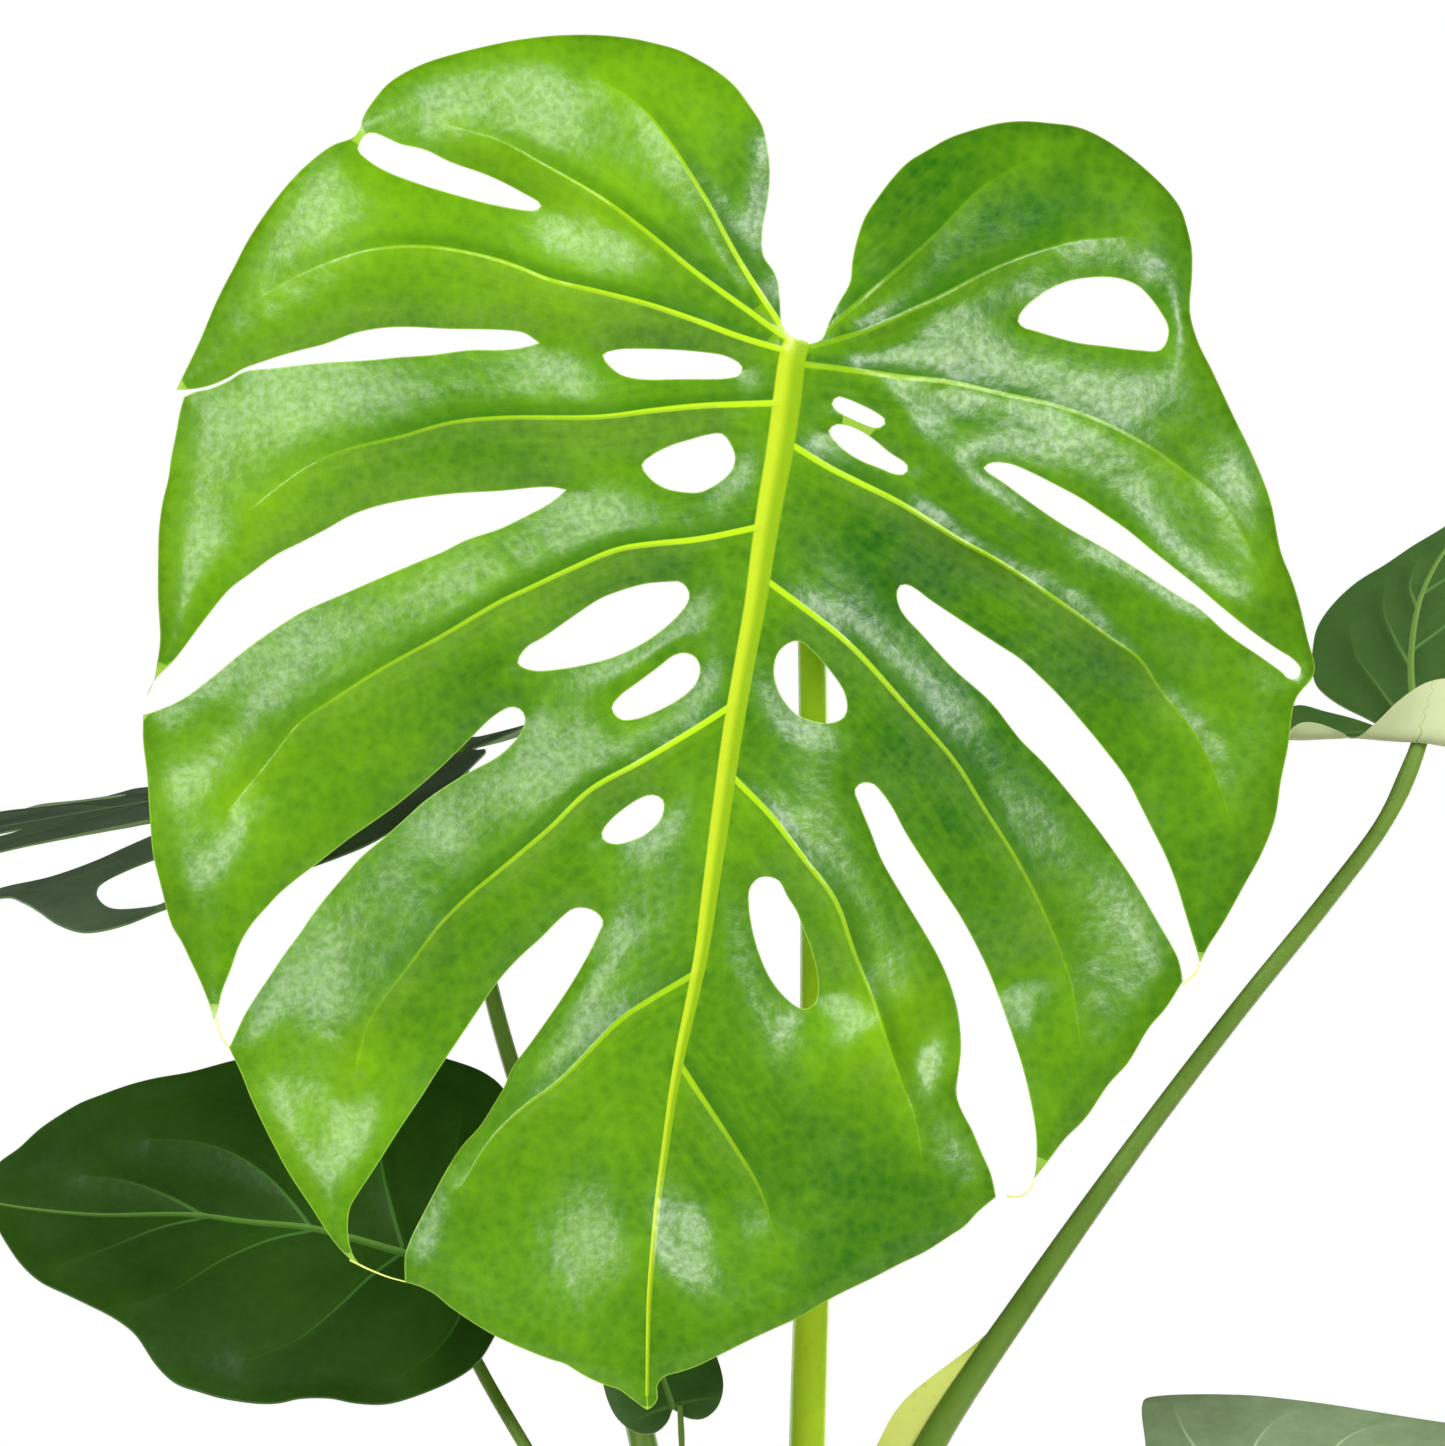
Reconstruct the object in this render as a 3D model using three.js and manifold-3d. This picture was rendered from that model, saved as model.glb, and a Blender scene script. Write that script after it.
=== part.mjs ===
// A potted Swiss cheese plant (a monstera): a plain round pot filled with soil, two rooted canes,
// and six leaves, each a blade on its own petiole. Millimetres, +Z up, the viewer stands at -Y.
// The origin is the middle of the pot's flat underside.

import * as THREE from "three";
import { mergeVertices } from "three/addons/utils/BufferGeometryUtils.js";
import Module from "manifold-3d";

const wasm = await Module();
wasm.setup();

// Driving dimensions

const GAP = 0.35; // air between two pieces that touch on the real plant
const POT = {
  height: 205,
  baseRadius: 84,
  topRadius: 112,
  wall: 7,
  floor: 10,
  rimHeight: 28,
  rimStep: 5,
  edge: 2,
  foot: 3,
  sides: 32,
};
const DRAIN = { radius: 7, ring: 48, count: 5 };
const SOIL = { edgeTop: 182, mound: 8, lump: 1.6, sides: 27, rings: 5 };
const RIB_TIP = 0.5; // half the width of a rib where it ends
const RIB_STEP = 34; // spacing of a rib's sections along it
const CUT_REACH = 400; // more than any blade stands off its flat frame
const ROLL_TURN = 2.75; // how far a rolled edge turns, in radians
const CANE = { radius: 12, root: 140, ringEvery: 22, ringStep: 1.4, domeFrom: 0.97, domeShare: 0.8 };
const STALK_STEP = 34; // spacing of a petiole's sections along it

// The front of the plant is drawn as the viewer sees it, on a sheet with x to the right and y down.
// The sheet stands in the plane of the pot's axis, and one of its steps is SHEET.step wide.
const SHEET = { step: 0.29, middleX: 722.5, middleY: 723 };
const EYE = { x: -10, away: 3000, z: 622 }; // the viewer is level with the sheet's middle

// Points and curves

const up = new THREE.Vector3(0, 0, 1);
const vec = (x, y, z) => new THREE.Vector3(x, y, z);
const clamp01 = (x) => Math.min(1, Math.max(0, x));
const smooth = (x) => clamp01(x) ** 2 * (3 - 2 * clamp01(x));
const mix = (a, b, t) => a + (b - a) * t;

// A sheet point in millimetres: x to the right of the pot's axis, y up from its underside.
const onSheet = ([x, y]) =>
  new THREE.Vector2(
    EYE.x + (x - SHEET.middleX) * SHEET.step,
    EYE.z - (y - SHEET.middleY) * SHEET.step,
  );

// A point of the sheet's plane, brought forward along the viewer's line of sight.
function alongSight(x, z, forward) {
  const nearer = 1 - forward / EYE.away;
  return vec(EYE.x + (x - EYE.x) * nearer, -forward, EYE.z + (z - EYE.z) * nearer);
}

function seenAt(x, y, forward) {
  const p = onSheet([x, y]);
  return alongSight(p.x, p.y, forward);
}

// Evenly spaced points on the smooth line through the given ones.
function smoothLine(points, spacing, closed = false) {
  const curve = new THREE.CatmullRomCurve3(
    points.map((p) => vec(p.x, p.y, 0)),
    closed,
    "centripetal",
  );
  const count = Math.max(closed ? 8 : 1, Math.round(curve.getLength() / spacing));
  const samples = curve.getSpacedPoints(count).map((p) => new THREE.Vector2(p.x, p.y));
  return closed ? samples.slice(0, -1) : samples;
}

// A closed outline of smooth stretches that meet at corners.
const cornered = (stretches, spacing) =>
  stretches.flatMap((points) => smoothLine(points, spacing).slice(0, -1));

function distanceToSegment(p, a, b) {
  const ab = b.clone().sub(a);
  const t = clamp01(p.clone().sub(a).dot(ab) / ab.lengthSq());
  return p.distanceTo(a.clone().addScaledVector(ab, t));
}

const distanceToLine = (p, line) =>
  Math.min(...line.slice(1).map((b, i) => distanceToSegment(p, line[i], b)));

const curveThrough = (points) => new THREE.CatmullRomCurve3(points, false, "centripetal");

// Solids

function solidFrom(geometry) {
  const bare = geometry.index ? geometry.toNonIndexed() : geometry.clone();
  for (const name of Object.keys(bare.attributes))
    if (name !== "position") bare.deleteAttribute(name);
  const merged = mergeVertices(bare, 1e-4);
  const vertProperties = merged.attributes.position.array;
  const triVerts = new Uint32Array(merged.index.array);
  const solid = new wasm.Manifold(new wasm.Mesh({ numProp: 3, vertProperties, triVerts }));
  if (solid.volume() > 0) return solid;
  triVerts.reverse(); // turns every face the other way
  return new wasm.Manifold(new wasm.Mesh({ numProp: 3, vertProperties, triVerts }));
}

function geometryFrom(solid) {
  const mesh = solid.getMesh();
  return new THREE.BufferGeometry()
    .setAttribute("position", new THREE.BufferAttribute(new Float32Array(mesh.vertProperties), 3))
    .setIndex(new THREE.BufferAttribute(new Uint32Array(mesh.triVerts), 1));
}

const largest = (solid) =>
  solid.decompose().reduce((best, piece) => (piece.volume() > best.volume() ? piece : best));

const joined = (solids) => solids.reduce((whole, solid) => whole.add(solid));

// A closed limb along a curve. sizeAt(t) gives its half depth, towards sideAt(t), and its half width.
function limb(path, sizeAt, { sides = 8, steps = 12, sideAt = () => vec(0, -1, 0) } = {}) {
  const geometry = new THREE.CylinderGeometry(1, 1, 1, sides, steps, false, Math.PI / 2);
  const position = geometry.attributes.position;
  for (let i = 0; i < position.count; i++) {
    const t = clamp01(position.getY(i) + 0.5);
    const along = path.getTangentAt(t);
    const across = vec().crossVectors(along, sideAt(t)).normalize();
    const outward = vec().crossVectors(across, along).normalize();
    const [halfDepth, halfWidth] = sizeAt(t);
    const p = path
      .getPointAt(t)
      .addScaledVector(outward, position.getX(i) * halfDepth)
      .addScaledVector(across, position.getZ(i) * halfWidth);
    position.setXYZ(i, p.x, p.y, p.z);
  }
  return solidFrom(geometry);
}

// A flat outline as a tall prism that cuts through a blade from face to face.
function prism(loop, height) {
  const geometry = new THREE.ExtrudeGeometry(new THREE.Shape(loop), {
    depth: 2 * height,
    bevelEnabled: false,
  });
  return solidFrom(geometry.translate(0, 0, -height));
}

// Blades

// An uncut sheet of leaf: a grid over the margin's box, raised by the leaf's relief, with the same
// triangles on both of its faces.
function sheet(leaf, thickness) {
  const box = new THREE.Box2().setFromPoints(leaf.margin).expandByScalar(leaf.grid * 0.37);
  const size = box.getSize(new THREE.Vector2());
  const middle = box.getCenter(new THREE.Vector2());
  const columns = 2 * Math.ceil(size.x / leaf.grid / 2); // even, so that a leaf can fold at its midrib
  const rows = Math.ceil(size.y / leaf.grid);
  const plane = new THREE.PlaneGeometry(size.x, size.y, columns, rows);
  plane.translate(middle.x, middle.y, 0);
  const flat = plane.attributes.position;
  const upper = [];
  const lower = [];
  for (let i = 0; i < flat.count; i++) {
    const rise = leaf.relief(new THREE.Vector2(flat.getX(i), flat.getY(i)));
    upper.push(vec(flat.getX(i), flat.getY(i), rise + thickness / 2));
    lower.push(vec(flat.getX(i), flat.getY(i), rise - thickness / 2));
  }
  const corners = [];
  const openEdges = new Map();
  const index = plane.index.array;
  for (let i = 0; i < index.length; i += 3) {
    const [a, b, c] = index.slice(i, i + 3);
    corners.push(upper[a], upper[b], upper[c], lower[a], lower[c], lower[b]);
    for (const [from, to] of [[a, b], [b, c], [c, a]])
      if (!openEdges.delete(`${to},${from}`)) openEdges.set(`${from},${to}`, [from, to]);
  }
  for (const [from, to] of openEdges.values())
    corners.push(upper[from], lower[from], lower[to], upper[from], lower[to], upper[to]);
  return solidFrom(new THREE.BufferGeometry().setFromPoints(corners));
}

// The midrib stands proud of both faces, and each side vein is a ridge along the upper face. Both
// taper to the tip from a foot with [depth, width] as half its section.
function rib(leaf, line, [depth, width], { sides, lift = 0 }) {
  const path = curveThrough(line.map((p) => vec(p.x, p.y, leaf.relief(p) + lift)));
  return limb(path, (t) => [mix(depth, leaf.thickness, t), mix(width, RIB_TIP, t)], {
    sides,
    steps: Math.max(2, Math.round(path.getLength() / RIB_STEP)),
    sideAt: () => up,
  });
}

// The blade in its own flat frame: the ribbed sheet, cut to its outline. `air` thickens it.
function cutBlade(leaf, air = 0) {
  const grown = (size) => size.map((half) => half + 2 * air);
  const midrib = rib(leaf, leaf.midrib, grown(leaf.midribSize), { sides: 6, lift: leaf.midribLift });
  const ridge = { sides: 3, lift: leaf.thickness * 0.2 };
  const veins = leaf.veins.map((line) => rib(leaf, line, grown(leaf.veinSize), ridge));
  const ribbed = joined([sheet(leaf, leaf.thickness + 2.5 * air), midrib, ...veins]);
  const blade = ribbed.intersect(prism(leaf.margin, CUT_REACH));
  const holes = leaf.holes.map((loop) => prism(loop, CUT_REACH));
  return largest(holes.length ? blade.subtract(joined(holes)) : blade);
}

function placed(leaf, solid) {
  const geometry = geometryFrom(solid);
  const position = geometry.attributes.position;
  for (let i = 0; i < position.count; i++) {
    const p = leaf.place(position.getX(i), position.getY(i), position.getZ(i));
    position.setXYZ(i, p.x, p.y, p.z);
  }
  return solidFrom(geometry);
}

const bladeOf = (leaf) => placed(leaf, cutBlade(leaf));
const roomFor = (leaf) => placed(leaf, cutBlade(leaf, GAP));

// A leaf's own plane: its y axis runs up the midrib from the petiole, and its z axis leaves the
// upper face.
function planeAt(origin, towardsTip, facing) {
  const y = towardsTip.clone().normalize();
  const x = vec().crossVectors(y, facing).normalize();
  return { origin, x, y, z: vec().crossVectors(x, y) };
}

// Where the lines of sight through points of the sheet meet a leaf's plane.
function drawnOn({ origin, x, y, z }, points) {
  const eye = vec(EYE.x, -EYE.away, EYE.z);
  return points.map((point) => {
    const p = onSheet(point);
    const sight = vec(p.x, 0, p.y).sub(eye);
    const reach = origin.clone().sub(eye).dot(z) / sight.dot(z);
    const met = eye.clone().addScaledVector(sight, reach).sub(origin);
    return new THREE.Vector2(met.dot(x), met.dot(y));
  });
}

// Puts a leaf's flat form in its plane. `roll` is the radius of a basal edge that rolls up over it.
function placeOn({ origin, x, y, z }, roll) {
  return (a, b, c) => {
    let [along, high] = [b, c];
    if (roll && b < 0) {
      const turn = Math.min(-b / roll, ROLL_TURN);
      const past = -b - roll * turn;
      along = (c - roll) * Math.sin(turn) - past * Math.cos(turn);
      high = roll + (c - roll) * Math.cos(turn) + past * Math.sin(turn);
    }
    return origin.clone().addScaledVector(x, a).addScaledVector(y, along).addScaledVector(z, high);
  };
}

// An entire heart-shaped outline, given by its right half as shares of the width and the length.
const HEART = [
  [0, -0.02],
  [0.08, -0.11],
  [0.22, -0.155],
  [0.37, -0.1],
  [0.47, 0.04],
  [0.5, 0.22],
  [0.48, 0.42],
  [0.41, 0.62],
  [0.28, 0.8],
  [0.12, 0.93],
  [0, 1],
];
function heart(length, width, spacing) {
  const right = HEART.map(([x, y]) => new THREE.Vector2(x * width, y * length));
  const left = right.map((p) => new THREE.Vector2(-p.x, p.y)).reverse();
  return [...smoothLine(right, spacing).slice(0, -1), ...smoothLine(left, spacing).slice(0, -1)];
}

// Side veins in pairs: they leave the midrib along its length and bend forward to the margin.
function pairedVeins(length, width, pairs) {
  const veins = [];
  for (let pair = 0; pair < pairs; pair++) {
    const start = mix(0.0, 0.66, pair / (pairs - 1)) * length;
    const reach = mix(0.4, 0.24, pair / (pairs - 1)) * width;
    const climb = mix(-0.06, 0.2, (pair + 0.5) / pairs) * length;
    for (const hand of [-1, 1])
      veins.push(
        smoothLine(
          [
            new THREE.Vector2(0, start),
            new THREE.Vector2(hand * reach * 0.5, start + climb * 0.35),
            new THREE.Vector2(hand * reach, start + climb),
          ],
          16,
        ),
      );
  }
  return veins;
}

// A slit between two side veins: round at its inner end and wider towards the margin.
function slit(inner, outer, width) {
  const along = outer.clone().sub(inner).normalize();
  const across = new THREE.Vector2(-along.y, along.x);
  const at = (t, side) =>
    inner
      .clone()
      .lerp(outer, t)
      .addScaledVector(across, side * width);
  return [at(0, 0), at(0.08, 0.25), at(0.5, 0.4), at(1, 0.5), at(1, -0.5), at(0.5, -0.4), at(0.08, -0.25)];
}

// The relief of a leaf in its own frame: two halves that rise from the midrib and curl down again,
// a tip that bows away, and basal lobes that lift.
function ownRelief({ length, width, rise, curl, bow, lift }) {
  return (p) => {
    const across = Math.abs(p.x) / (width / 2);
    const along = p.y / length;
    const lobes = lift * width * clamp01(-along / 0.15) ** 1.5;
    return rise * width * across - curl * width * across ** 2.4 - bow * length * along ** 2 + lobes;
  };
}

function ownLeaf({ length, width, plane, ...leaf }) {
  const straight = [new THREE.Vector2(0, 0), new THREE.Vector2(0, length * 0.94)];
  return {
    margin: leaf.margin ? smoothLine(leaf.margin, leaf.rim, true) : heart(length, width, leaf.rim),
    holes: leaf.slits ?? [],
    midrib: smoothLine(leaf.midrib ?? straight, 18),
    veins: leaf.veins?.map((line) => smoothLine(line, 16)) ?? pairedVeins(length, width, leaf.pairs),
    relief: ownRelief({ length, width, ...leaf.relief }),
    place: placeOn(plane, leaf.roll),
    thickness: 0.8,
    grid: leaf.grid,
    midribSize: leaf.midribSize,
    midribLift: 0,
    veinSize: leaf.midribSize.map((size) => size * 0.7),
  };
}

// The front leaf, as drawn on the sheet

const drawn = (points) => points.map(onSheet);

const FRONT_JUNCTION = [800, 345];

// Stretches of its margin, clockwise from the notch where the petiole joins. Each slit is two
// stretches that meet at its inner end.
const FRONT_MARGIN = [
  [
    [806, 345], [781, 320], [775, 280], [763, 250], [769, 185], [768, 140], [745, 98], [705, 63],
    [640, 39], [560, 35], [470, 50], [395, 79], [362, 117], [350, 139], [300, 171], [248, 240],
    [212, 315], [178, 386],
  ],
  [[178, 386], [215, 378], [262, 360], [325, 344], [400, 327], [500, 330], [541, 344]],
  [[541, 344], [500, 351], [431, 356], [363, 361], [275, 371], [220, 387], [186, 399]],
  [[186, 399], [171, 458], [159, 528], [158, 610], [147, 697]],
  [[147, 697], [176, 658], [250, 574], [300, 543], [371, 508], [450, 494], [530, 489], [566, 490]],
  [[566, 490], [520, 519], [442, 552], [380, 578], [302, 612], [240, 654], [181, 700], [144, 716]],
  [[144, 716], [147, 775], [160, 883], [191, 962], [215, 1021]],
  [[215, 1021], [222, 992], [240, 944], [279, 894], [350, 838], [419, 787], [473, 736], [525, 714]],
  [[525, 714], [511, 745], [462, 776], [387, 835], [330, 892], [285, 953], [245, 1014], [230, 1047]],
  [[230, 1047], [250, 1096], [288, 1172], [334, 1242], [361, 1267]],
  [[361, 1267], [348, 1233], [359, 1192], [401, 1127], [451, 1048], [500, 979], [560, 919], [603, 912]],
  [[603, 912], [576, 976], [529, 1045], [494, 1104], [447, 1169], [411, 1238], [405, 1282]],
  [[405, 1282], [450, 1307], [526, 1350], [602, 1384], [647, 1411]],
  [[647, 1411], [658, 1386], [716, 1357], [800, 1317], [900, 1264], [965, 1226], [996, 1197]],
  [[996, 1197], [972, 1130], [957, 1096], [960, 1026], [931, 943], [892, 877], [858, 795], [875, 783]],
  [[875, 783], [905, 832], [960, 916], [1000, 1001], [1030, 1098], [1034, 1180]],
  [[1034, 1180], [1085, 1119], [1140, 1046], [1184, 981]],
  [[1184, 981], [1161, 927], [1115, 853], [1058, 781], [990, 701], [920, 632], [897, 588], [915, 588]],
  [[915, 588], [960, 620], [1020, 659], [1080, 720], [1140, 805], [1176, 883], [1200, 963]],
  [
    [1200, 963], [1235, 902], [1265, 838], [1281, 781], [1295, 701], [1315, 668], [1305, 623],
    [1281, 552], [1250, 449], [1199, 344], [1190, 303], [1190, 240], [1169, 192], [1103, 138],
    [1023, 121], [949, 138], [895, 175], [856, 243], [838, 304], [806, 345],
  ],
];

// Closed holes inside the margin.
const FRONT_HOLES = [
  [[357, 149], [368, 134], [425, 150], [489, 176], [541, 207], [500, 206], [420, 184]],
  [[603, 357], [648, 349], [728, 357], [741, 370], [680, 379], [608, 366]],
  [[642, 465], [670, 446], [719, 434], [735, 460], [700, 492], [655, 482]],
  [[518, 662], [544, 637], [600, 599], [668, 582], [688, 598], [648, 640], [600, 661], [545, 670]],
  [[612, 710], [640, 681], [685, 653], [700, 669], [671, 704], [632, 720]],
  [[602, 835], [641, 798], [664, 805], [630, 842]],
  [[832, 402], [861, 405], [885, 422], [850, 418]],
  [[830, 428], [859, 430], [907, 468], [880, 468]],
  [[776, 655], [801, 641], [834, 676], [846, 709], [820, 723], [783, 699]],
  [[749, 895], [779, 880], [802, 926], [818, 985], [803, 1009], [769, 976]],
  [[1018, 322], [1050, 289], [1121, 279], [1161, 313], [1166, 344], [1105, 346], [1040, 333]],
  [
    [984, 466], [1032, 473], [1101, 512], [1175, 569], [1246, 627], [1301, 668], [1287, 678],
    [1228, 634], [1150, 577], [1072, 530], [1003, 482],
  ],
];

const FRONT_MIDRIB = [
  [795, 352], [780, 450], [764, 550], [747, 650], [729, 750], [709, 900], [680, 1050], [658, 1200],
  [649, 1370],
];
const FRONT_VEINS = [
  [[785, 336], [740, 262], [699, 188], [643, 109]],
  [[785, 339], [699, 275], [600, 197], [500, 141]],
  [[782, 352], [700, 322], [600, 292], [490, 258], [400, 246], [310, 270]],
  [[776, 404], [650, 411], [500, 418], [400, 437], [300, 472]],
  [[758, 528], [620, 549], [530, 588], [440, 637], [330, 702], [270, 760]],
  [[731, 706], [640, 762], [550, 828], [440, 925], [370, 1020]],
  [[696, 975], [620, 1020], [560, 1080], [490, 1140]],
  [[820, 339], [901, 266], [979, 190]],
  [[816, 347], [901, 315], [1000, 266], [1100, 239]],
  [[804, 366], [949, 382], [1104, 423], [1189, 475], [1243, 536]],
  [[793, 447], [860, 483], [960, 540], [1060, 602], [1140, 660], [1195, 735]],
  [[768, 583], [850, 645], [955, 762], [1015, 857], [1060, 960]],
  [[733, 780], [805, 860], [855, 955], [895, 1065]],
];

// The front leaf hangs from its notch: its tip comes towards the viewer and its basal lobes lean
// back. Each half falls away from the midrib and droops towards the margin, and above the hinge, a
// line from the notch to the right margin, the blade folds back.
const FRONT = {
  forward: 47.4,
  tipForward: 40,
  lobesBack: { left: 20, right: 34 },
  fall: 0.07,
  channel: 16, // how far the rounded crest over the midrib reaches
  curl: 0.001,
  hinge: [[800, 400], [1300, 700]],
  fold: 0.3,
  foldFrom: 4, // how far above the hinge the fold starts
  foldRound: 9,
  foldEase: 40,
  arch: 0.011, // how much the leaf sags between its side veins
  archWidth: 26,
  archFrom: 60,
};

function frontLeaf() {
  const midrib = smoothLine(drawn(FRONT_MIDRIB), 20);
  const veins = FRONT_VEINS.map((points) => smoothLine(drawn(points), 20));
  const top = onSheet(FRONT_JUNCTION);
  const length = top.y - onSheet([647, 1411]).y;
  const [hingeStart, hingeEnd] = drawn(FRONT.hinge);
  const hinge = hingeEnd.clone().sub(hingeStart).normalize();
  const relief = (p) => {
    const down = (top.y - p.y) / length;
    const lobesBack = p.x < top.x ? FRONT.lobesBack.left : FRONT.lobesBack.right;
    const hang = down > 0 ? FRONT.tipForward * down ** 1.2 : -lobesBack * (down / 0.3) ** 2;
    const across = distanceToLine(p, midrib);
    const fromVein = Math.min(FRONT.archWidth, ...veins.map((vein) => distanceToLine(p, vein)));
    const arch = FRONT.arch * fromVein ** 2 * smooth(across / FRONT.archFrom);
    const fall = FRONT.fall * Math.hypot(across, FRONT.channel);
    const past = Math.max(0, hinge.cross(p.clone().sub(hingeStart)) - FRONT.foldFrom);
    const above = past * smooth((p.x - hingeStart.x) / FRONT.foldEase);
    const fold = FRONT.fold * (Math.hypot(above, FRONT.foldRound) - FRONT.foldRound);
    return FRONT.forward + hang - fall - fold - FRONT.curl * across ** 2 - arch;
  };
  return {
    margin: cornered(FRONT_MARGIN.map(drawn), 12.5),
    holes: FRONT_HOLES.map((loop) => smoothLine(drawn(loop), 8, true)),
    midrib,
    veins,
    relief,
    place: alongSight,
    thickness: 0.9,
    grid: 20,
    midribSize: [2.6, 3.4],
    midribLift: 0.4,
    veinSize: [1.3, 1.3],
  };
}

// The other leaves, each in its own frame

// The left leaf, in its own millimetres: gaps are the two that the photo shows on its near side.

const pointAt = ([x, y]) => new THREE.Vector2(x, y);

const LEFT_MARGIN = [
  [0, -4], [20, -12], [50, -16], [82, -4], [100, 22], [108, 60], [104, 107], [90, 158], [62, 204],
  [26, 240], [0, 255], [-26, 238], [-52, 208], [-72, 176], [-86, 145], [-89, 125], [-90, 114],
  [-107, 98], [-122, 78], [-121, 67], [-115, 55], [-108, 30], [-100, 8], [-84, -10], [-62, -20],
  [-40, -21], [-20, -15],
];
const LEFT_GAPS = [
  [
    [-36, 66], [-34, 80], [-41, 115], [-44, 130], [-52, 150], [-66, 175], [-80, 192], [-104, 172],
    [-96, 150], [-87, 132], [-81, 118], [-79, 104], [-72, 93], [-53, 78], [-44, 70],
  ],
  [
    [-50, 38], [-58, 48], [-81, 70], [-94, 82], [-102, 81], [-111, 74], [-113, 64], [-112, 57],
    [-100, 50], [-86, 44], [-56, 34],
  ],
];
const LEFT_GAP_SPACING = 11;
const LEFT_SLIT_WIDTH = 12;
const LEFT_SLITS = [
  [[-14, 138], [-50, 240]],
  [[36, 24], [118, 50]],
  [[34, 72], [108, 133]],
  [[24, 120], [84, 200]],
  [[14, 160], [52, 240]],
];
const LEFT_VEINS = [
  [[0, 4], [-45, 12], [-98, 22]],
  [[0, 34], [-30, 48], [-52, 62], [-80, 88], [-86, 100]],
  [[0, 98], [-20, 122], [-34, 150], [-56, 190]],
  [[0, 2], [45, -1], [94, 14]],
  [[0, 30], [40, 48], [102, 86]],
  [[0, 72], [34, 96], [88, 150]],
  [[0, 115], [25, 140], [63, 194]],
];

const LOW_LEFT_PLANE = planeAt(seenAt(455, 1268, -8), vec(-1, 0.07, 0.12), vec(0.02, -0.75, 0.62));
const LOW_LEFT_MARGIN = [
  [463, 1262], [495, 1270], [506, 1305], [485, 1355], [445, 1393], [385, 1411], [330, 1401],
  [275, 1400], [200, 1385], [135, 1338], [65, 1293], [20, 1258], [-10, 1205], [-22, 1180], [2, 1152],
  [60, 1112], [130, 1081], [230, 1058], [340, 1036], [445, 1055], [508, 1088], [516, 1120],
  [508, 1160], [478, 1235],
];
const LOW_LEFT_MIDRIB = [[459, 1268], [354, 1239], [248, 1220], [89, 1207], [-10, 1188]];
const LOW_LEFT_VEINS = [
  [[448, 1262], [448, 1215], [460, 1110]],
  [[404, 1253], [381, 1165], [376, 1075]],
  [[312, 1228], [268, 1180], [150, 1142]],
  [[448, 1267], [458, 1310], [405, 1383]],
  [[402, 1254], [340, 1312], [250, 1360]],
  [[318, 1229], [225, 1262], [130, 1310]],
];

// The right leaf's outline: what is seen of its blade, the basal edge that is rolled up, and the
// basal lobe that shows below it.
const RIGHT_PLANE = planeAt(seenAt(1418, 739, -20), vec(0.12, 0.66, 0.74), vec(-0.05, -0.74, 0.66));
const RIGHT_MARGIN = [
  [1384, 730], [1366, 719], [1329, 697], [1313, 670], [1317, 625], [1355, 581], [1413, 540],
  [1475, 495], [1507, 478], [1526, 520], [1534, 590], [1526, 660], [1500, 722], [1480, 738],
];
const RIGHT_BASE = [[16, -12], [10, -23], [-1, -20], [-13, -8], [-20, -2]];
const RIGHT_LOBE = [
  [1345, 746], [1303, 751], [1286, 738], [1290, 705], [1325, 711], [1376, 728],
];
const RIGHT_MIDRIB = [[1417, 737], [1411, 660], [1416, 614], [1448, 540], [1486, 500]];
const RIGHT_VEINS = [
  [[1415, 728], [1375, 683], [1349, 625]],
  [[1416, 722], [1460, 688], [1498, 640]],
  [[1412, 650], [1460, 610], [1500, 570]],
];

const LOW_RIGHT_PLANE = planeAt(seenAt(1216, 1476, 0), vec(0.96, -0.2, -0.06), vec(0.05, -0.42, 0.9));
const LOW_RIGHT_MARGIN = [
  [1206, 1474], [1180, 1500], [1152, 1480], [1142, 1405], [1160, 1391], [1250, 1394], [1330, 1402],
  [1445, 1418], [1600, 1448], [1720, 1512], [1580, 1556], [1480, 1574], [1370, 1580], [1280, 1574],
  [1215, 1556], [1182, 1520],
];

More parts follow.
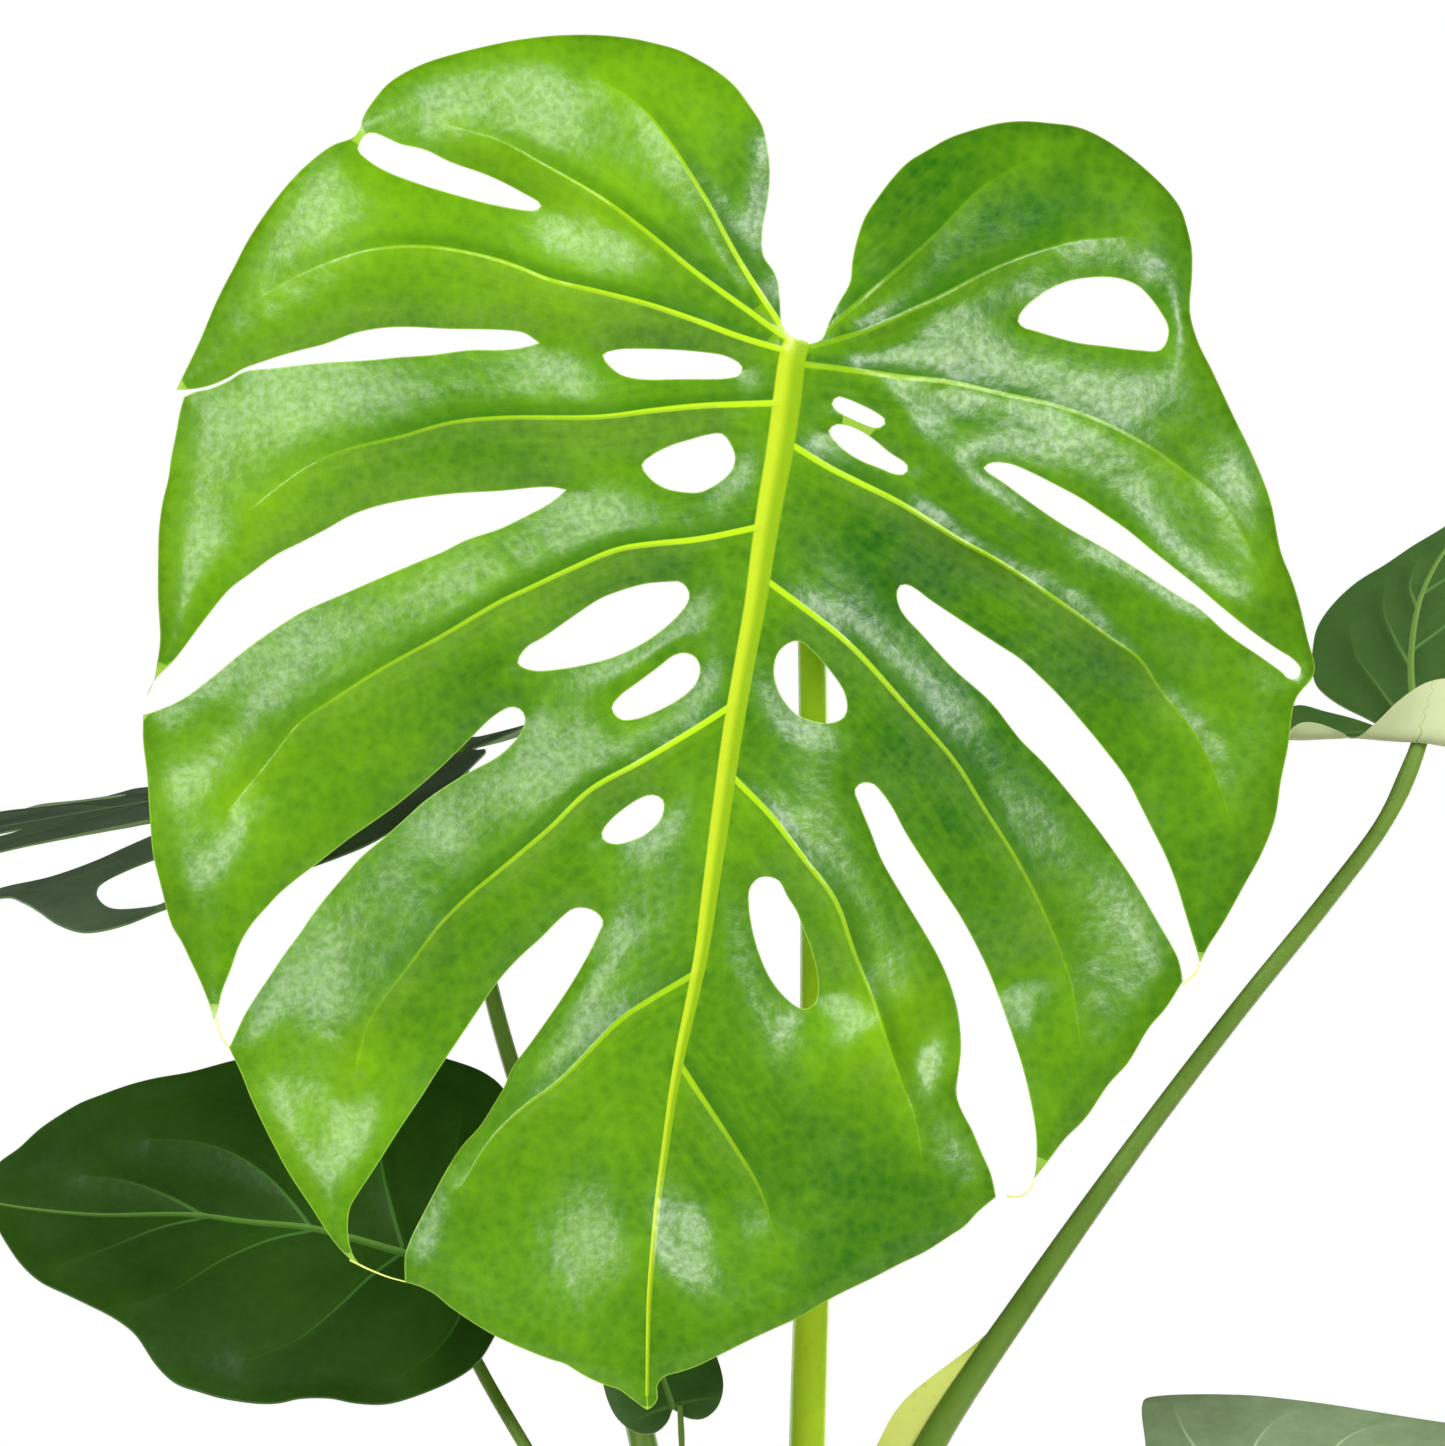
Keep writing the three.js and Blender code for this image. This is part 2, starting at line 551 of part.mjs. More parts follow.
const LEAVES = {
  front: frontLeaf(),
  left: ownLeaf({
    length: 255,
    width: 220,
    plane: planeAt(seenAt(462, 752, -72), vec(-0.93, 0.33, -0.14), vec(-0.19, -0.126, 0.96)),
    margin: LEFT_MARGIN.map(pointAt),
    veins: LEFT_VEINS.map((line) => line.map(pointAt)),
    relief: { rise: 0, curl: 0.064, bow: 0.02, lift: 0.05 },
    slits: [
      ...LEFT_GAPS.map((gap) => smoothLine(gap.map(pointAt), LEFT_GAP_SPACING, true)),
      ...LEFT_SLITS.map(([inner, outer]) => slit(pointAt(inner), pointAt(outer), LEFT_SLIT_WIDTH)),
    ],
    midribSize: [1.9, 2.2],
    grid: 26,
    rim: 18,
  }),
  low_left: ownLeaf({
    length: 146,
    width: 123,
    plane: LOW_LEFT_PLANE,
    margin: drawnOn(LOW_LEFT_PLANE, LOW_LEFT_MARGIN),
    midrib: drawnOn(LOW_LEFT_PLANE, LOW_LEFT_MIDRIB),
    veins: LOW_LEFT_VEINS.map((line) => drawnOn(LOW_LEFT_PLANE, line)),
    relief: { rise: 0.1, curl: 0.1, bow: 0.05, lift: -0.05 },
    midribSize: [1.5, 1.7],
    grid: 21,
    rim: 11,
  }),
  right: ownLeaf({
    length: 100,
    width: 74,
    plane: RIGHT_PLANE,
    margin: [
      ...drawnOn(RIGHT_PLANE, RIGHT_MARGIN),
      ...RIGHT_BASE.map(([x, y]) => new THREE.Vector2(x, y)),
      ...drawnOn(RIGHT_PLANE, RIGHT_LOBE),
    ],
    midrib: drawnOn(RIGHT_PLANE, RIGHT_MIDRIB),
    veins: RIGHT_VEINS.map((line) => drawnOn(RIGHT_PLANE, line)),
    relief: { rise: 0.03, curl: 0.05, bow: 0.05, lift: 0 },
    roll: 2.6,
    midribSize: [1.3, 1.5],
    grid: 9,
    rim: 8,
  }),
  low_right: ownLeaf({
    length: 160,
    width: 124,
    plane: LOW_RIGHT_PLANE,
    margin: drawnOn(LOW_RIGHT_PLANE, LOW_RIGHT_MARGIN),
    relief: { rise: 0.03, curl: 0.06, bow: 0.03, lift: 0 },
    pairs: 3,
    midribSize: [1.5, 1.7],
    grid: 21,
    rim: 12,
  }),
  small: ownLeaf({
    length: 38,
    width: 34,
    plane: planeAt(seenAt(672, 1406, 20), vec(-0.3, 0.35, 0.9), vec(0, -0.9, 0.4)),
    relief: { rise: 0.08, curl: 0.14, bow: 0.08, lift: -0.05 },
    pairs: 0,
    grid: 12,
    rim: 8,
    midribSize: [1, 1],
  }),
};

// Canes and petioles

const CANES = {
  right: [vec(22, 8, CANE.root), vec(17, 4, 200), vec(14, 1, 262)],
  left: [vec(-25, -8, CANE.root), vec(-20, -6, 200), vec(-17, -4, 256)],
};

// A rooted stem, a little thicker at the ring that each old leaf left.
function cane(points, air = 0) {
  const path = curveThrough(points);
  const length = path.getLength();
  const sizeAt = (t) => {
    const pastRing = ((t * length) % CANE.ringEvery) / CANE.ringEvery;
    const swell = CANE.ringStep * clamp01(1 - Math.abs(pastRing - 0.5) * 5);
    const dome = t > CANE.domeFrom ? CANE.domeShare : 1;
    const size = (CANE.radius + swell) * dome + air;
    return [size, size];
  };
  return limb(path, sizeAt, { sides: 10, steps: 14 });
}

// Each petiole runs from its cane to the back of its blade, with its radii along the way. The
// winged sheath that once held the next leaf runs up from its foot, on the side of `wing.foot` at
// the bottom and of `wing.top` where it ends, a share of the way up.
const PETIOLES = {
  front: {
    cane: "right",
    radii: [9.5, 5.9, 5.4, 4.4, 3.7],
    wing: { end: 0.3, rise: 0.12, halfWidth: 4.8, foot: vec(0.2, 1, 0), top: vec(0.5, 1, 0) },
    route: [
      vec(14, 1, 252), seenAt(802, 1760, 1), seenAt(808, 1446, 0), seenAt(815, 1180, 0),
      seenAt(816, 900, 2), seenAt(813, 690, 5), seenAt(809, 500, 10), seenAt(806, 410, 20),
      seenAt(802, 368, 34), seenAt(799, 352, 45),
    ],
  },
  left: {
    cane: "left",
    radii: [9.5, 5.2, 4.4, 2.7, 2.2],
    wing: { end: 0.36, rise: 0.12, halfWidth: 4.2, foot: vec(0.2, 1, 0), top: vec(0.9, 0.6, 0.2) },
    route: [
      vec(-17, -4, 246), seenAt(687, 1760, -6), seenAt(644, 1446, -26), seenAt(596, 1290, -46),
      seenAt(513, 1070, -68), seenAt(480, 940, -73), seenAt(464, 830, -74), seenAt(461, 745, -72),
    ],
  },
  low_left: {
    cane: "left",
    radii: [6.5, 3.4, 2.1, 1.9, 1.9],
    route: [
      vec(-32, -13, 215), seenAt(664, 1780, 16), seenAt(600, 1570, 12), seenAt(525, 1446, 3),
      seenAt(481, 1370, -6), seenAt(460, 1325, -14), seenAt(453, 1270, -10),
    ],
  },
  right: {
    cane: "right",
    radii: [8.5, 5.2, 4.6, 2.9, 2.4],
    wing: { end: 0.53, rise: 0.1, halfWidth: 5.4, foot: vec(1, 1, 0), top: vec(-0.83, 0, 0.5) },
    route: [
      vec(31, -3, 222), seenAt(860, 1720, 2), seenAt(880, 1560, 2), seenAt(930, 1446, 1),
      seenAt(1026, 1300, -1), seenAt(1132, 1150, -4), seenAt(1240, 1008, -8), seenAt(1327, 900, -12),
      seenAt(1386, 820, -16), seenAt(1412, 765, -19), seenAt(1424, 730, -21),
    ],
  },
  low_right: {
    cane: "right",
    radii: [7, 3.8, 2.6, 2.2, 2],
    route: [
      vec(19, -14, 203), vec(24, -24, 250), seenAt(900, 1790, 28), seenAt(1020, 1650, 22),
      seenAt(1150, 1530, 8), seenAt(1202, 1492, 2), seenAt(1224, 1468, 0),
    ],
  },
  small: {
    cane: "left",
    radii: [5, 2, 1.1, 0.9, 0.85],
    route: [
      vec(-17, -19, 203), seenAt(700, 1840, 24), seenAt(688, 1620, 23), seenAt(682, 1446, 21),
      seenAt(680, 1405, 21),
    ],
  },
};

function petiole({ route, radii, wing, cane: carrier }, leaf) {
  const path = curveThrough(route);
  const radiusAt = (t) => {
    const place = t ** 0.75 * (radii.length - 1);
    const i = Math.min(radii.length - 2, Math.floor(place));
    return mix(radii[i], radii[i + 1], place - i);
  };
  const stalk = limb(path, (t) => [radiusAt(t), radiusAt(t)], {
    sides: 8,
    steps: Math.round(path.getLength() / STALK_STEP),
  });
  const grown = wing ? stalk.add(sheath(path, radiusAt, wing)) : stalk;
  return largest(grown.subtract(cane(CANES[carrier], GAP)).subtract(roomFor(leaf)));
}

// The sheath: a thin wing whose inner edge is sunk in the stalk and whose outer edge tapers away.
function sheath(stalk, radiusAt, { end, rise, halfWidth, foot, top }) {
  const start = 0.03;
  const leanAt = (t) => foot.clone().lerp(top, smooth(t / end)).normalize();
  const widthAt = (t) => 0.5 + halfWidth * smooth((end - t) / rise);
  const stalkShare = (t) => mix(start, end, t);
  const path = curveThrough(
    [0, 0.2, 0.4, 0.6, 0.8, 0.9, 1].map((share) => {
      const t = stalkShare(share);
      return stalk.getPointAt(t).addScaledVector(leanAt(t), radiusAt(t) * 0.75 + widthAt(t));
    }),
  );
  return limb(path, (t) => [widthAt(stalkShare(t)), 0.8], {
    sides: 4,
    steps: 8,
    sideAt: (t) => leanAt(stalkShare(t)),
  });
}

// Pot and soil

const profileOf = (points) => points.map(([r, z]) => new THREE.Vector2(r, z));

const outerRadius = (z) => mix(POT.baseRadius, POT.topRadius, z / POT.height);
const innerRadius = (z) => outerRadius(z) - POT.wall;

function pot() {
  const { height, floor, rimHeight, rimStep, edge, foot, baseRadius } = POT;
  const rimFoot = height - rimHeight;
  const lip = outerRadius(height) + rimStep;
  const profile = profileOf([
    [0, 0],
    [baseRadius - edge, 0],
    [baseRadius, edge],
    [outerRadius(rimFoot), rimFoot],
    [outerRadius(rimFoot) + rimStep - edge, rimFoot],
    [outerRadius(rimFoot) + rimStep, rimFoot + edge],
    [lip, height - edge],
    [lip - edge, height],
    [innerRadius(height) + edge, height],
    [innerRadius(height), height - edge],
    [innerRadius(floor + foot), floor + foot],
    [innerRadius(floor) - foot, floor],
    [0, floor],
  ]);
  const body = solidFrom(new THREE.LatheGeometry(profile, POT.sides).rotateX(Math.PI / 2));
  const drains = [];
  for (let k = 0; k < DRAIN.count; k++) {
    const turn = (2 * Math.PI * k) / DRAIN.count;
    const hole = new THREE.CylinderGeometry(DRAIN.radius, DRAIN.radius, 3 * floor, 14);
    hole.rotateX(Math.PI / 2).translate(DRAIN.ring * Math.cos(turn), DRAIN.ring * Math.sin(turn), 0);
    drains.push(solidFrom(hole));
  }
  return body.subtract(joined(drains));
}

// The lumps of the soil's surface, as a fixed sum of waves.
const lumps = (x, y) =>
  SOIL.lump * (Math.sin(x * 0.21 + 1.3) * Math.cos(y * 0.17) + 0.6 * Math.sin(x * 0.08 - y * 0.31 + 0.5));

function soil() {
  const bottom = POT.floor + GAP;
  const rim = innerRadius(SOIL.edgeTop) - GAP * 1.6;
  const foot = innerRadius(bottom) - POT.foot - GAP * 2;
  const profile = [[0, bottom], [foot, bottom], [foot + POT.foot, bottom + POT.foot]];
  for (let i = SOIL.rings; i >= 0; i--) {
    const r = (rim * i) / SOIL.rings;
    profile.push([r, SOIL.edgeTop + SOIL.mound * (1 - (r / rim) ** 2)]);
  }
  const geometry = new THREE.LatheGeometry(profileOf(profile), SOIL.sides).rotateX(Math.PI / 2);
  const position = geometry.attributes.position;
  for (let i = 0; i < position.count; i++) {
    const [x, y, z] = [position.getX(i), position.getY(i), position.getZ(i)];
    const calm = 1 - smooth((Math.hypot(x, y) - rim * 0.9) / (rim * 0.1));
    if (z > SOIL.edgeTop - 1) position.setZ(i, z + lumps(x, y) * calm);
  }
  return Object.values(CANES).reduce(
    (filling, points) => filling.subtract(cane(points, GAP)),
    solidFrom(geometry),
  );
}

// The plant

const material = (color, roughness) => new THREE.MeshStandardMaterial({ color, roughness, metalness: 0 });
const looks = {
  youngBlade: material(0x5fae14, 0.35),
  oldBlade: material(0x2b4a1c, 0.35),
  lowBlade: material(0x6f8a5c, 0.4),
  petiole: material(0x6e9f2c, 0.45),
  cane: material(0x5d6b33, 0.7),
  soil: material(0x2e2119, 0.95),
  pot: material(0xb5603c, 0.8),
};

const bladeLooks = { front: looks.youngBlade, low_right: looks.lowBlade };

const plant = new THREE.Group();

function add(name, solid, look) {
  const mesh = new THREE.Mesh(geometryFrom(solid), look);
  mesh.name = name;
  plant.add(mesh);
}

add("pot", pot(), looks.pot);
add("soil", soil(), looks.soil);
for (const [name, points] of Object.entries(CANES)) add(`cane_${name}`, cane(points), looks.cane);
for (const [name, leaf] of Object.entries(LEAVES)) {
  add(`blade_${name}`, bladeOf(leaf), bladeLooks[name] ?? looks.oldBlade);
  add(`petiole_${name}`, petiole(PETIOLES[name], leaf), looks.petiole);
}

export default plant;
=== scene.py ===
# %% [markdown]
# # A potted Swiss cheese plant
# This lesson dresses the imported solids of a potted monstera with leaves, stalks, soil and a pot that
# look like the real thing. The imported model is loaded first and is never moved. It gives the place
# of every piece, so each new piece goes exactly where a plain solid already stands.

import math
import random

import bmesh
import bpy
import numpy as np
from mathutils import Matrix, Vector
from mathutils.geometry import delaunay_2d_cdt


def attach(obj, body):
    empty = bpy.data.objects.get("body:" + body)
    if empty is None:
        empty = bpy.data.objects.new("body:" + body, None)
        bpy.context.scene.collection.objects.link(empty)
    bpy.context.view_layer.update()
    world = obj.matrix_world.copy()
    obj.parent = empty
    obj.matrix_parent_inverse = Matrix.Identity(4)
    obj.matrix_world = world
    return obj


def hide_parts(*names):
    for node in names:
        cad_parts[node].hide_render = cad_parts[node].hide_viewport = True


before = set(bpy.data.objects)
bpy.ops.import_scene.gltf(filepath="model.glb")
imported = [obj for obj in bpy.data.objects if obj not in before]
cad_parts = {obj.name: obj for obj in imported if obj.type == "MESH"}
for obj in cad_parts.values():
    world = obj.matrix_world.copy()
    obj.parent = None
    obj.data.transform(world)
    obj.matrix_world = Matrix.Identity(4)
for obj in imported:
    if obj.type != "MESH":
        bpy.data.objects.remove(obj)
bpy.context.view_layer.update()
print("nodes:", ", ".join(sorted(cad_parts)))

# %% [markdown]
# ## The viewer and the drawing sheet
# The big leaf is known best from straight ahead, so it is drawn as the viewer sees it: on a flat
# sheet, x to the right and y down, one step of the sheet being 0.29 mm. The viewer stands three
# metres off. A drawn point can be brought forward along the viewer's line of sight, which lets the
# leaf bulge and bend without its outline changing. Drawing in space from the start would be the
# other way, but then every bend would also shift the outline.

# %% The sheet, the viewer's eye and the camera
MM = 0.001
SHEET_STEP = 0.29
SHEET_WIDTH = 1445
SHEET_HEIGHT = 1446
EYE_X = -10.0
EYE_Z = 622.0
EYE_AWAY = 3000.0
SENSOR = 36.0


def on_sheet(points):
    """Points of the sheet in millimetres: x from the pot's axis, y up from its underside."""
    p = np.asarray(points, float)
    x = EYE_X + (p[..., 0] - SHEET_WIDTH / 2) * SHEET_STEP
    return np.stack([x, EYE_Z - (p[..., 1] - SHEET_HEIGHT / 2) * SHEET_STEP], axis=-1)


def along_sight(x, z, forward):
    """Places points of the sheet's plane in space, brought forward along the line of sight."""
    nearer = 1 - forward / EYE_AWAY
    return np.stack([EYE_X + (x - EYE_X) * nearer, -forward, EYE_Z + (z - EYE_Z) * nearer], axis=-1)


def seen_at(x, y, forward):
    drawn = on_sheet([x, y])
    return along_sight(drawn[0], drawn[1], np.float64(forward))


camera = bpy.data.objects.new("camera", bpy.data.cameras.new("camera"))
camera.location = (EYE_X * MM, -EYE_AWAY * MM, EYE_Z * MM)
camera.rotation_euler = (math.radians(90), 0, 0)
camera.data.sensor_width = SENSOR
camera.data.lens = SENSOR * EYE_AWAY / (SHEET_HEIGHT * SHEET_STEP)
bpy.context.scene.collection.objects.link(camera)
bpy.context.scene.camera = camera
print("lens in millimetres:", round(camera.data.lens, 1))

# %% [markdown]
# ## Lines and distances
# A leaf is mostly lines: its margin, its midrib and its side veins. Each is a smooth curve through
# a few given points. How far a spot of the leaf lies from each of them decides nearly all of
# the rest, such as its height, its thickness and its colour, so two helpers measure that.


# %% Smooth lines, distances to them and the inside of a loop
def smooth_line(points, spacing, closed=False):
    """Evenly spaced points on a smooth curve through the given ones."""
    p = np.asarray(points, float)
    ends = [p[-1:], p, p[:2]] if closed else [2 * p[:1] - p[1:2], p, 2 * p[-1:] - p[-2:-1]]
    p = np.vstack(ends)
    knots = np.concatenate([[0], np.cumsum(np.linalg.norm(np.diff(p, axis=0), axis=1) ** 0.5)])
    dense = []
    for i in range(1, len(p) - 2):
        a, b, c, d = p[i - 1 : i + 3]
        ta, tb, tc, td = knots[i - 1 : i + 3]
        t = np.linspace(tb, tc, 9)[:-1, None]
        ab = ((tb - t) * a + (t - ta) * b) / (tb - ta)
        bc = ((tc - t) * b + (t - tb) * c) / (tc - tb)
        cd = ((td - t) * c + (t - tc) * d) / (td - tc)
        abc = ((tc - t) * ab + (t - ta) * bc) / (tc - ta)
        bcd = ((td - t) * bc + (t - tb) * cd) / (td - tb)
        dense.append(((tc - t) * abc + (t - tb) * bcd) / (tc - tb))
    dense = np.vstack([*dense, p[-2:-1]])
    run = np.concatenate([[0], np.cumsum(np.linalg.norm(np.diff(dense, axis=0), axis=1))])
    at = np.linspace(0, run[-1], max(3, round(run[-1] / spacing) + 1))
    line = np.stack([np.interp(at, run, dense[:, k]) for k in range(p.shape[1])], axis=-1)
    return line[:-1] if closed else line


def cornered(stretches, spacing):
    """A closed outline of smooth stretches that meet at corners."""
    return np.vstack([smooth_line(stretch, spacing)[:-1] for stretch in stretches])


def measure_to(line, points, closed=False):
    """For each point: its distance to the line, the run along it there, and its signed side."""
    ends = np.roll(line, -1, axis=0) if closed else line[1:]
    best = np.full(len(points), np.inf)
    run = np.zeros(len(points))
    side = np.zeros(len(points))
    start = 0.0
    for a, b in zip(line, ends):
        along = b - a
        length = math.hypot(*along)
        rel = points - a
        t = np.clip(rel @ along / length**2, 0, 1)
        away = np.hypot(rel[:, 0] - t * along[0], rel[:, 1] - t * along[1])
        closer = away < best
        best[closer] = away[closer]
        run[closer] = (start + t * length)[closer]
        side[closer] = np.sign(along[0] * rel[:, 1] - along[1] * rel[:, 0])[closer]
        start += length
    return best, run / start, side


def inside(loop, points):
    """Whether each point is inside a closed loop, by how often a ray from it crosses the loop."""
    x, y = points.T
    odd = np.zeros(len(points), bool)
    for (ax, ay), (bx, by) in zip(loop, np.roll(loop, -1, axis=0)):
        if ay == by:
            continue
        odd ^= ((ay > y) != (by > y)) & (x < (bx - ax) * (y - ay) / (by - ay) + ax)
    return odd


def ease(x):
    x = np.clip(x, 0, 1)
    return x * x * (3 - 2 * x)


print("points on a smooth line through three others:", len(smooth_line([[0, 0], [3, 4], [9, 4]], 1)))

# %% [markdown]
# ## Nodes and colours
# Every material below is a small network of nodes. One helper adds a node with its settings and
# its links, so that a material reads as a list of what it is made of. Colours are written as they
# look on a screen and turned to the linear values that a renderer works in.


# %% Two helpers for materials
def linear(code):
    parts = [int(code[i : i + 2], 16) / 255 for i in (1, 3, 5)]
    return [*[c / 12.92 if c <= 0.04045 else ((c + 0.055) / 1.055) ** 2.4 for c in parts], 1.0]


def feed(node, sockets):
    """Gives each named socket of a node a value, or a link from an output."""
    for name, value in sockets.items():
        if isinstance(value, bpy.types.NodeSocket):
            node.id_data.links.new(value, node.inputs[name])
        else:
            node.inputs[name].default_value = value


def put(tree, kind, sockets=None, out=0, **options):
    """Adds a node with its options and feeds it. `out` picks the output that is handed back."""
    made = tree.nodes.new("ShaderNode" + kind)
    for name, value in options.items():
        setattr(made, name, value)
    feed(made, sockets or {})
    return made if out is None else made.outputs[out]


def new_material(name):
    """An empty material, its tree, and its shader joined to its output."""
    material = bpy.data.materials.new(name)
    material.use_nodes = True
    material.node_tree.nodes.clear()
    shader = put(material.node_tree, "BsdfPrincipled", out=None)
    put(material.node_tree, "OutputMaterial", {"Surface": shader.outputs["BSDF"]}, out=None)
    return material, material.node_tree, shader


RGBA = {"out": 2, "data_type": "RGBA"}
SMOOTH = {"interpolation_type": "SMOOTHSTEP"}
print("a mid green in linear values:", [round(v, 3) for v in linear("#58a010")])

# %% [markdown]
# ## What a blade is made of
# A leaf blade is a skin under a millimetre thick, stiffened by a thick midrib and by side veins
# that stand proud underneath. A flat outline filled by a fill operator gives long thin triangles
# that can't take any relief. A grid cut by the outline gives a ragged edge. So the flat blade is
# triangulated at once from its outline, its veins and evenly spread points between them, and the
# extrude operator then gives it its second face and its edge. After that every point is lifted by
# the leaf's relief and set in place.

# %% How finely a blade is cut up
RIB_ROWS = (-1.0, -0.6, 0.0, 0.6, 1.0)
VEIN_ROWS = (-1.0, 0.0, 1.0)
EDGE_SPACING = 1.6
LINE_SPACING = 1.8
RIB_OFF_EDGE = 0.5
# How near the points of the skin come to an edge and to the side of a rib, in spacings.
SKIN_OFF_EDGE = 0.6
SKIN_OFF_RIB = 0.5
SMOOTH_ANGLE = 50
MERGED = 1e-6


# %% Triangulate a flat blade
def rib_points(line, half_width, rows):
    """Rows of points along a rib, so that the mesh can follow its rounded section."""
    along = np.gradient(line, axis=0)
    along /= np.linalg.norm(along, axis=1)[:, None]
    across = np.stack([-along[:, 1], along[:, 0]], axis=-1)
    widths = half_width(np.linspace(0, 1, len(line)))[:, None]
    return np.vstack([line + across * widths * row for row in rows])


def flat_blade(leaf):
    """Points and triangles of the blade before it is lifted."""
    spacing = leaf["spacing"]
    edges = [leaf["margin"], *leaf["holes"]]
    ribs = [rib_points(leaf["midrib"], leaf["rib_width"], RIB_ROWS)]
    ribs += [rib_points(vein, leaf["vein_width"], VEIN_ROWS) for vein in leaf["veins"]]
    ribs = np.vstack(ribs)
    low, high = leaf["margin"].min(0), leaf["margin"].max(0)
    rows = np.arange(low[1], high[1], spacing * math.sqrt(3) / 2)
    columns = np.arange(low[0], high[0], spacing)
    spread = np.array([(x + (j % 2) * spacing / 2, y) for j, y in enumerate(rows) for x in columns])
    lines = [leaf["midrib"], *leaf["veins"]]
    widths = [leaf["rib_width"], *[leaf["vein_width"]] * len(leaf["veins"])]

    def within(points):
        kept = inside(leaf["margin"], points)
        for hole in leaf["holes"]:
            kept &= ~inside(hole, points)
        return kept

    def clear_of(points, gap):
        kept = np.ones(len(points), bool)
        for edge in edges:
            kept &= measure_to(edge, points, closed=True)[0] > gap
        return kept

    spread = spread[within(spread)]
    spread = spread[clear_of(spread, SKIN_OFF_EDGE * spacing)]
    for line, width in zip(lines, widths):
        away, run, _ = measure_to(line, spread)
        spread = spread[away > width(run) + SKIN_OFF_RIB * spacing]
    ribs = ribs[within(ribs)]
    ribs = ribs[clear_of(ribs, RIB_OFF_EDGE)]
    points = np.vstack([*edges, ribs, spread])
    borders = []
    start = 0
    for edge in edges:
        borders += [(start + i, start + (i + 1) % len(edge)) for i in range(len(edge))]
        start += len(edge)
    made = delaunay_2d_cdt([Vector(p) for p in points], borders, [], 0, 1e-4)
    points = np.array([tuple(p) for p in made[0]])
    faces = np.array([face for face in made[2] if len(face) == 3])
    faces = faces[within(points[faces].mean(axis=1))]
    used = np.unique(faces)
    place = np.zeros(len(points), int)
    place[used] = np.arange(len(used))
    return points[used], place[faces]


# %% [markdown]
# The measures below say where on the leaf a point is: how far from the midrib and on which side,
# how far from the nearest side vein and how far along it, how deep between two veins, and how far
# from the edge. Relief, thickness and colour all read these.


# %% Measure every point of a flat blade
FAR = 60.0
# A shade is painted along the lower side of a side vein, as if the skin dipped into a furrow there:
# where it starts, how soon it is full, where it ends and how slowly it fades.
PAINTED_GROOVE_SHADE = (0.2, 0.6, 7.5, 6.5)


def measure_blade(leaf, points):
    count = len(points)
    from_midrib, run, side = measure_to(leaf["midrib"], points)
    edge = np.full(count, np.inf)
    for loop in [leaf["margin"], *leaf["holes"]]:
        edge = np.minimum(edge, measure_to(loop, points, closed=True)[0])
    facts = {
        "across": from_midrib,
        "run": run,
        "rib": side * from_midrib / np.maximum(leaf["rib_width"](run), 0.05),
        "edge": edge,
        "vein_run": np.ones(count),
        "vein_side": np.zeros(count),
        "vein_number": np.zeros(count),
        "paleness": np.ones(count),
        # On the big leaf the tone is its painted sheen and painted shade.
        "tone": leaf["tone"](points) if "tone" in leaf else np.zeros(count),
    }
    near, second = np.full(count, FAR), np.full(count, FAR)
    near_strength, second_strength = np.ones(count), np.ones(count)
    alike = [1] * len(leaf["veins"])
    rows = zip(leaf["veins"], leaf.get("strengths", alike), leaf.get("paleness", alike))
    for number, (vein, strength, paleness) in enumerate(rows):
        away, along, side = measure_to(vein, points)
        first = away < near
        after = (away < second) & ~first
        second_strength = np.where(first, near_strength, np.where(after, strength, second_strength))
        near_strength = np.where(first, strength, near_strength)
        second = np.where(first, near, np.minimum(second, away))
        near = np.where(first, away, near)
        found = {"vein_run": along, "vein_side": side, "vein_number": number, "paleness": paleness}
        for fact, value in found.items():
            facts[fact] = np.where(first, value, facts[fact])
    share = near / np.maximum(near + second, 0.001)
    facts |= {"vein": near, "gap": near + second, "between": share}
    facts["strength"] = near_strength * (1 - share) + second_strength * share
    below = near * facts["vein_side"] * np.sign(facts["rib"])
    start, full, end, fading = PAINTED_GROOVE_SHADE
    groove = ease((below - start) / full) * ease((end - below) / fading)
    facts["groove"] = groove * (1 - facts["vein_run"] ** 4)
    return facts


# %% [markdown]
# The blade's two faces come from one flat triangulation. The extrude operator copies the faces,
# turns the first ones to look the other way and walls in the edge, and each point remembers which
# face it is on. A point where two lobes touch is parted first, so that no wall is shared. The ribs
# swell both faces, and mostly the lower one, as on the real leaf.


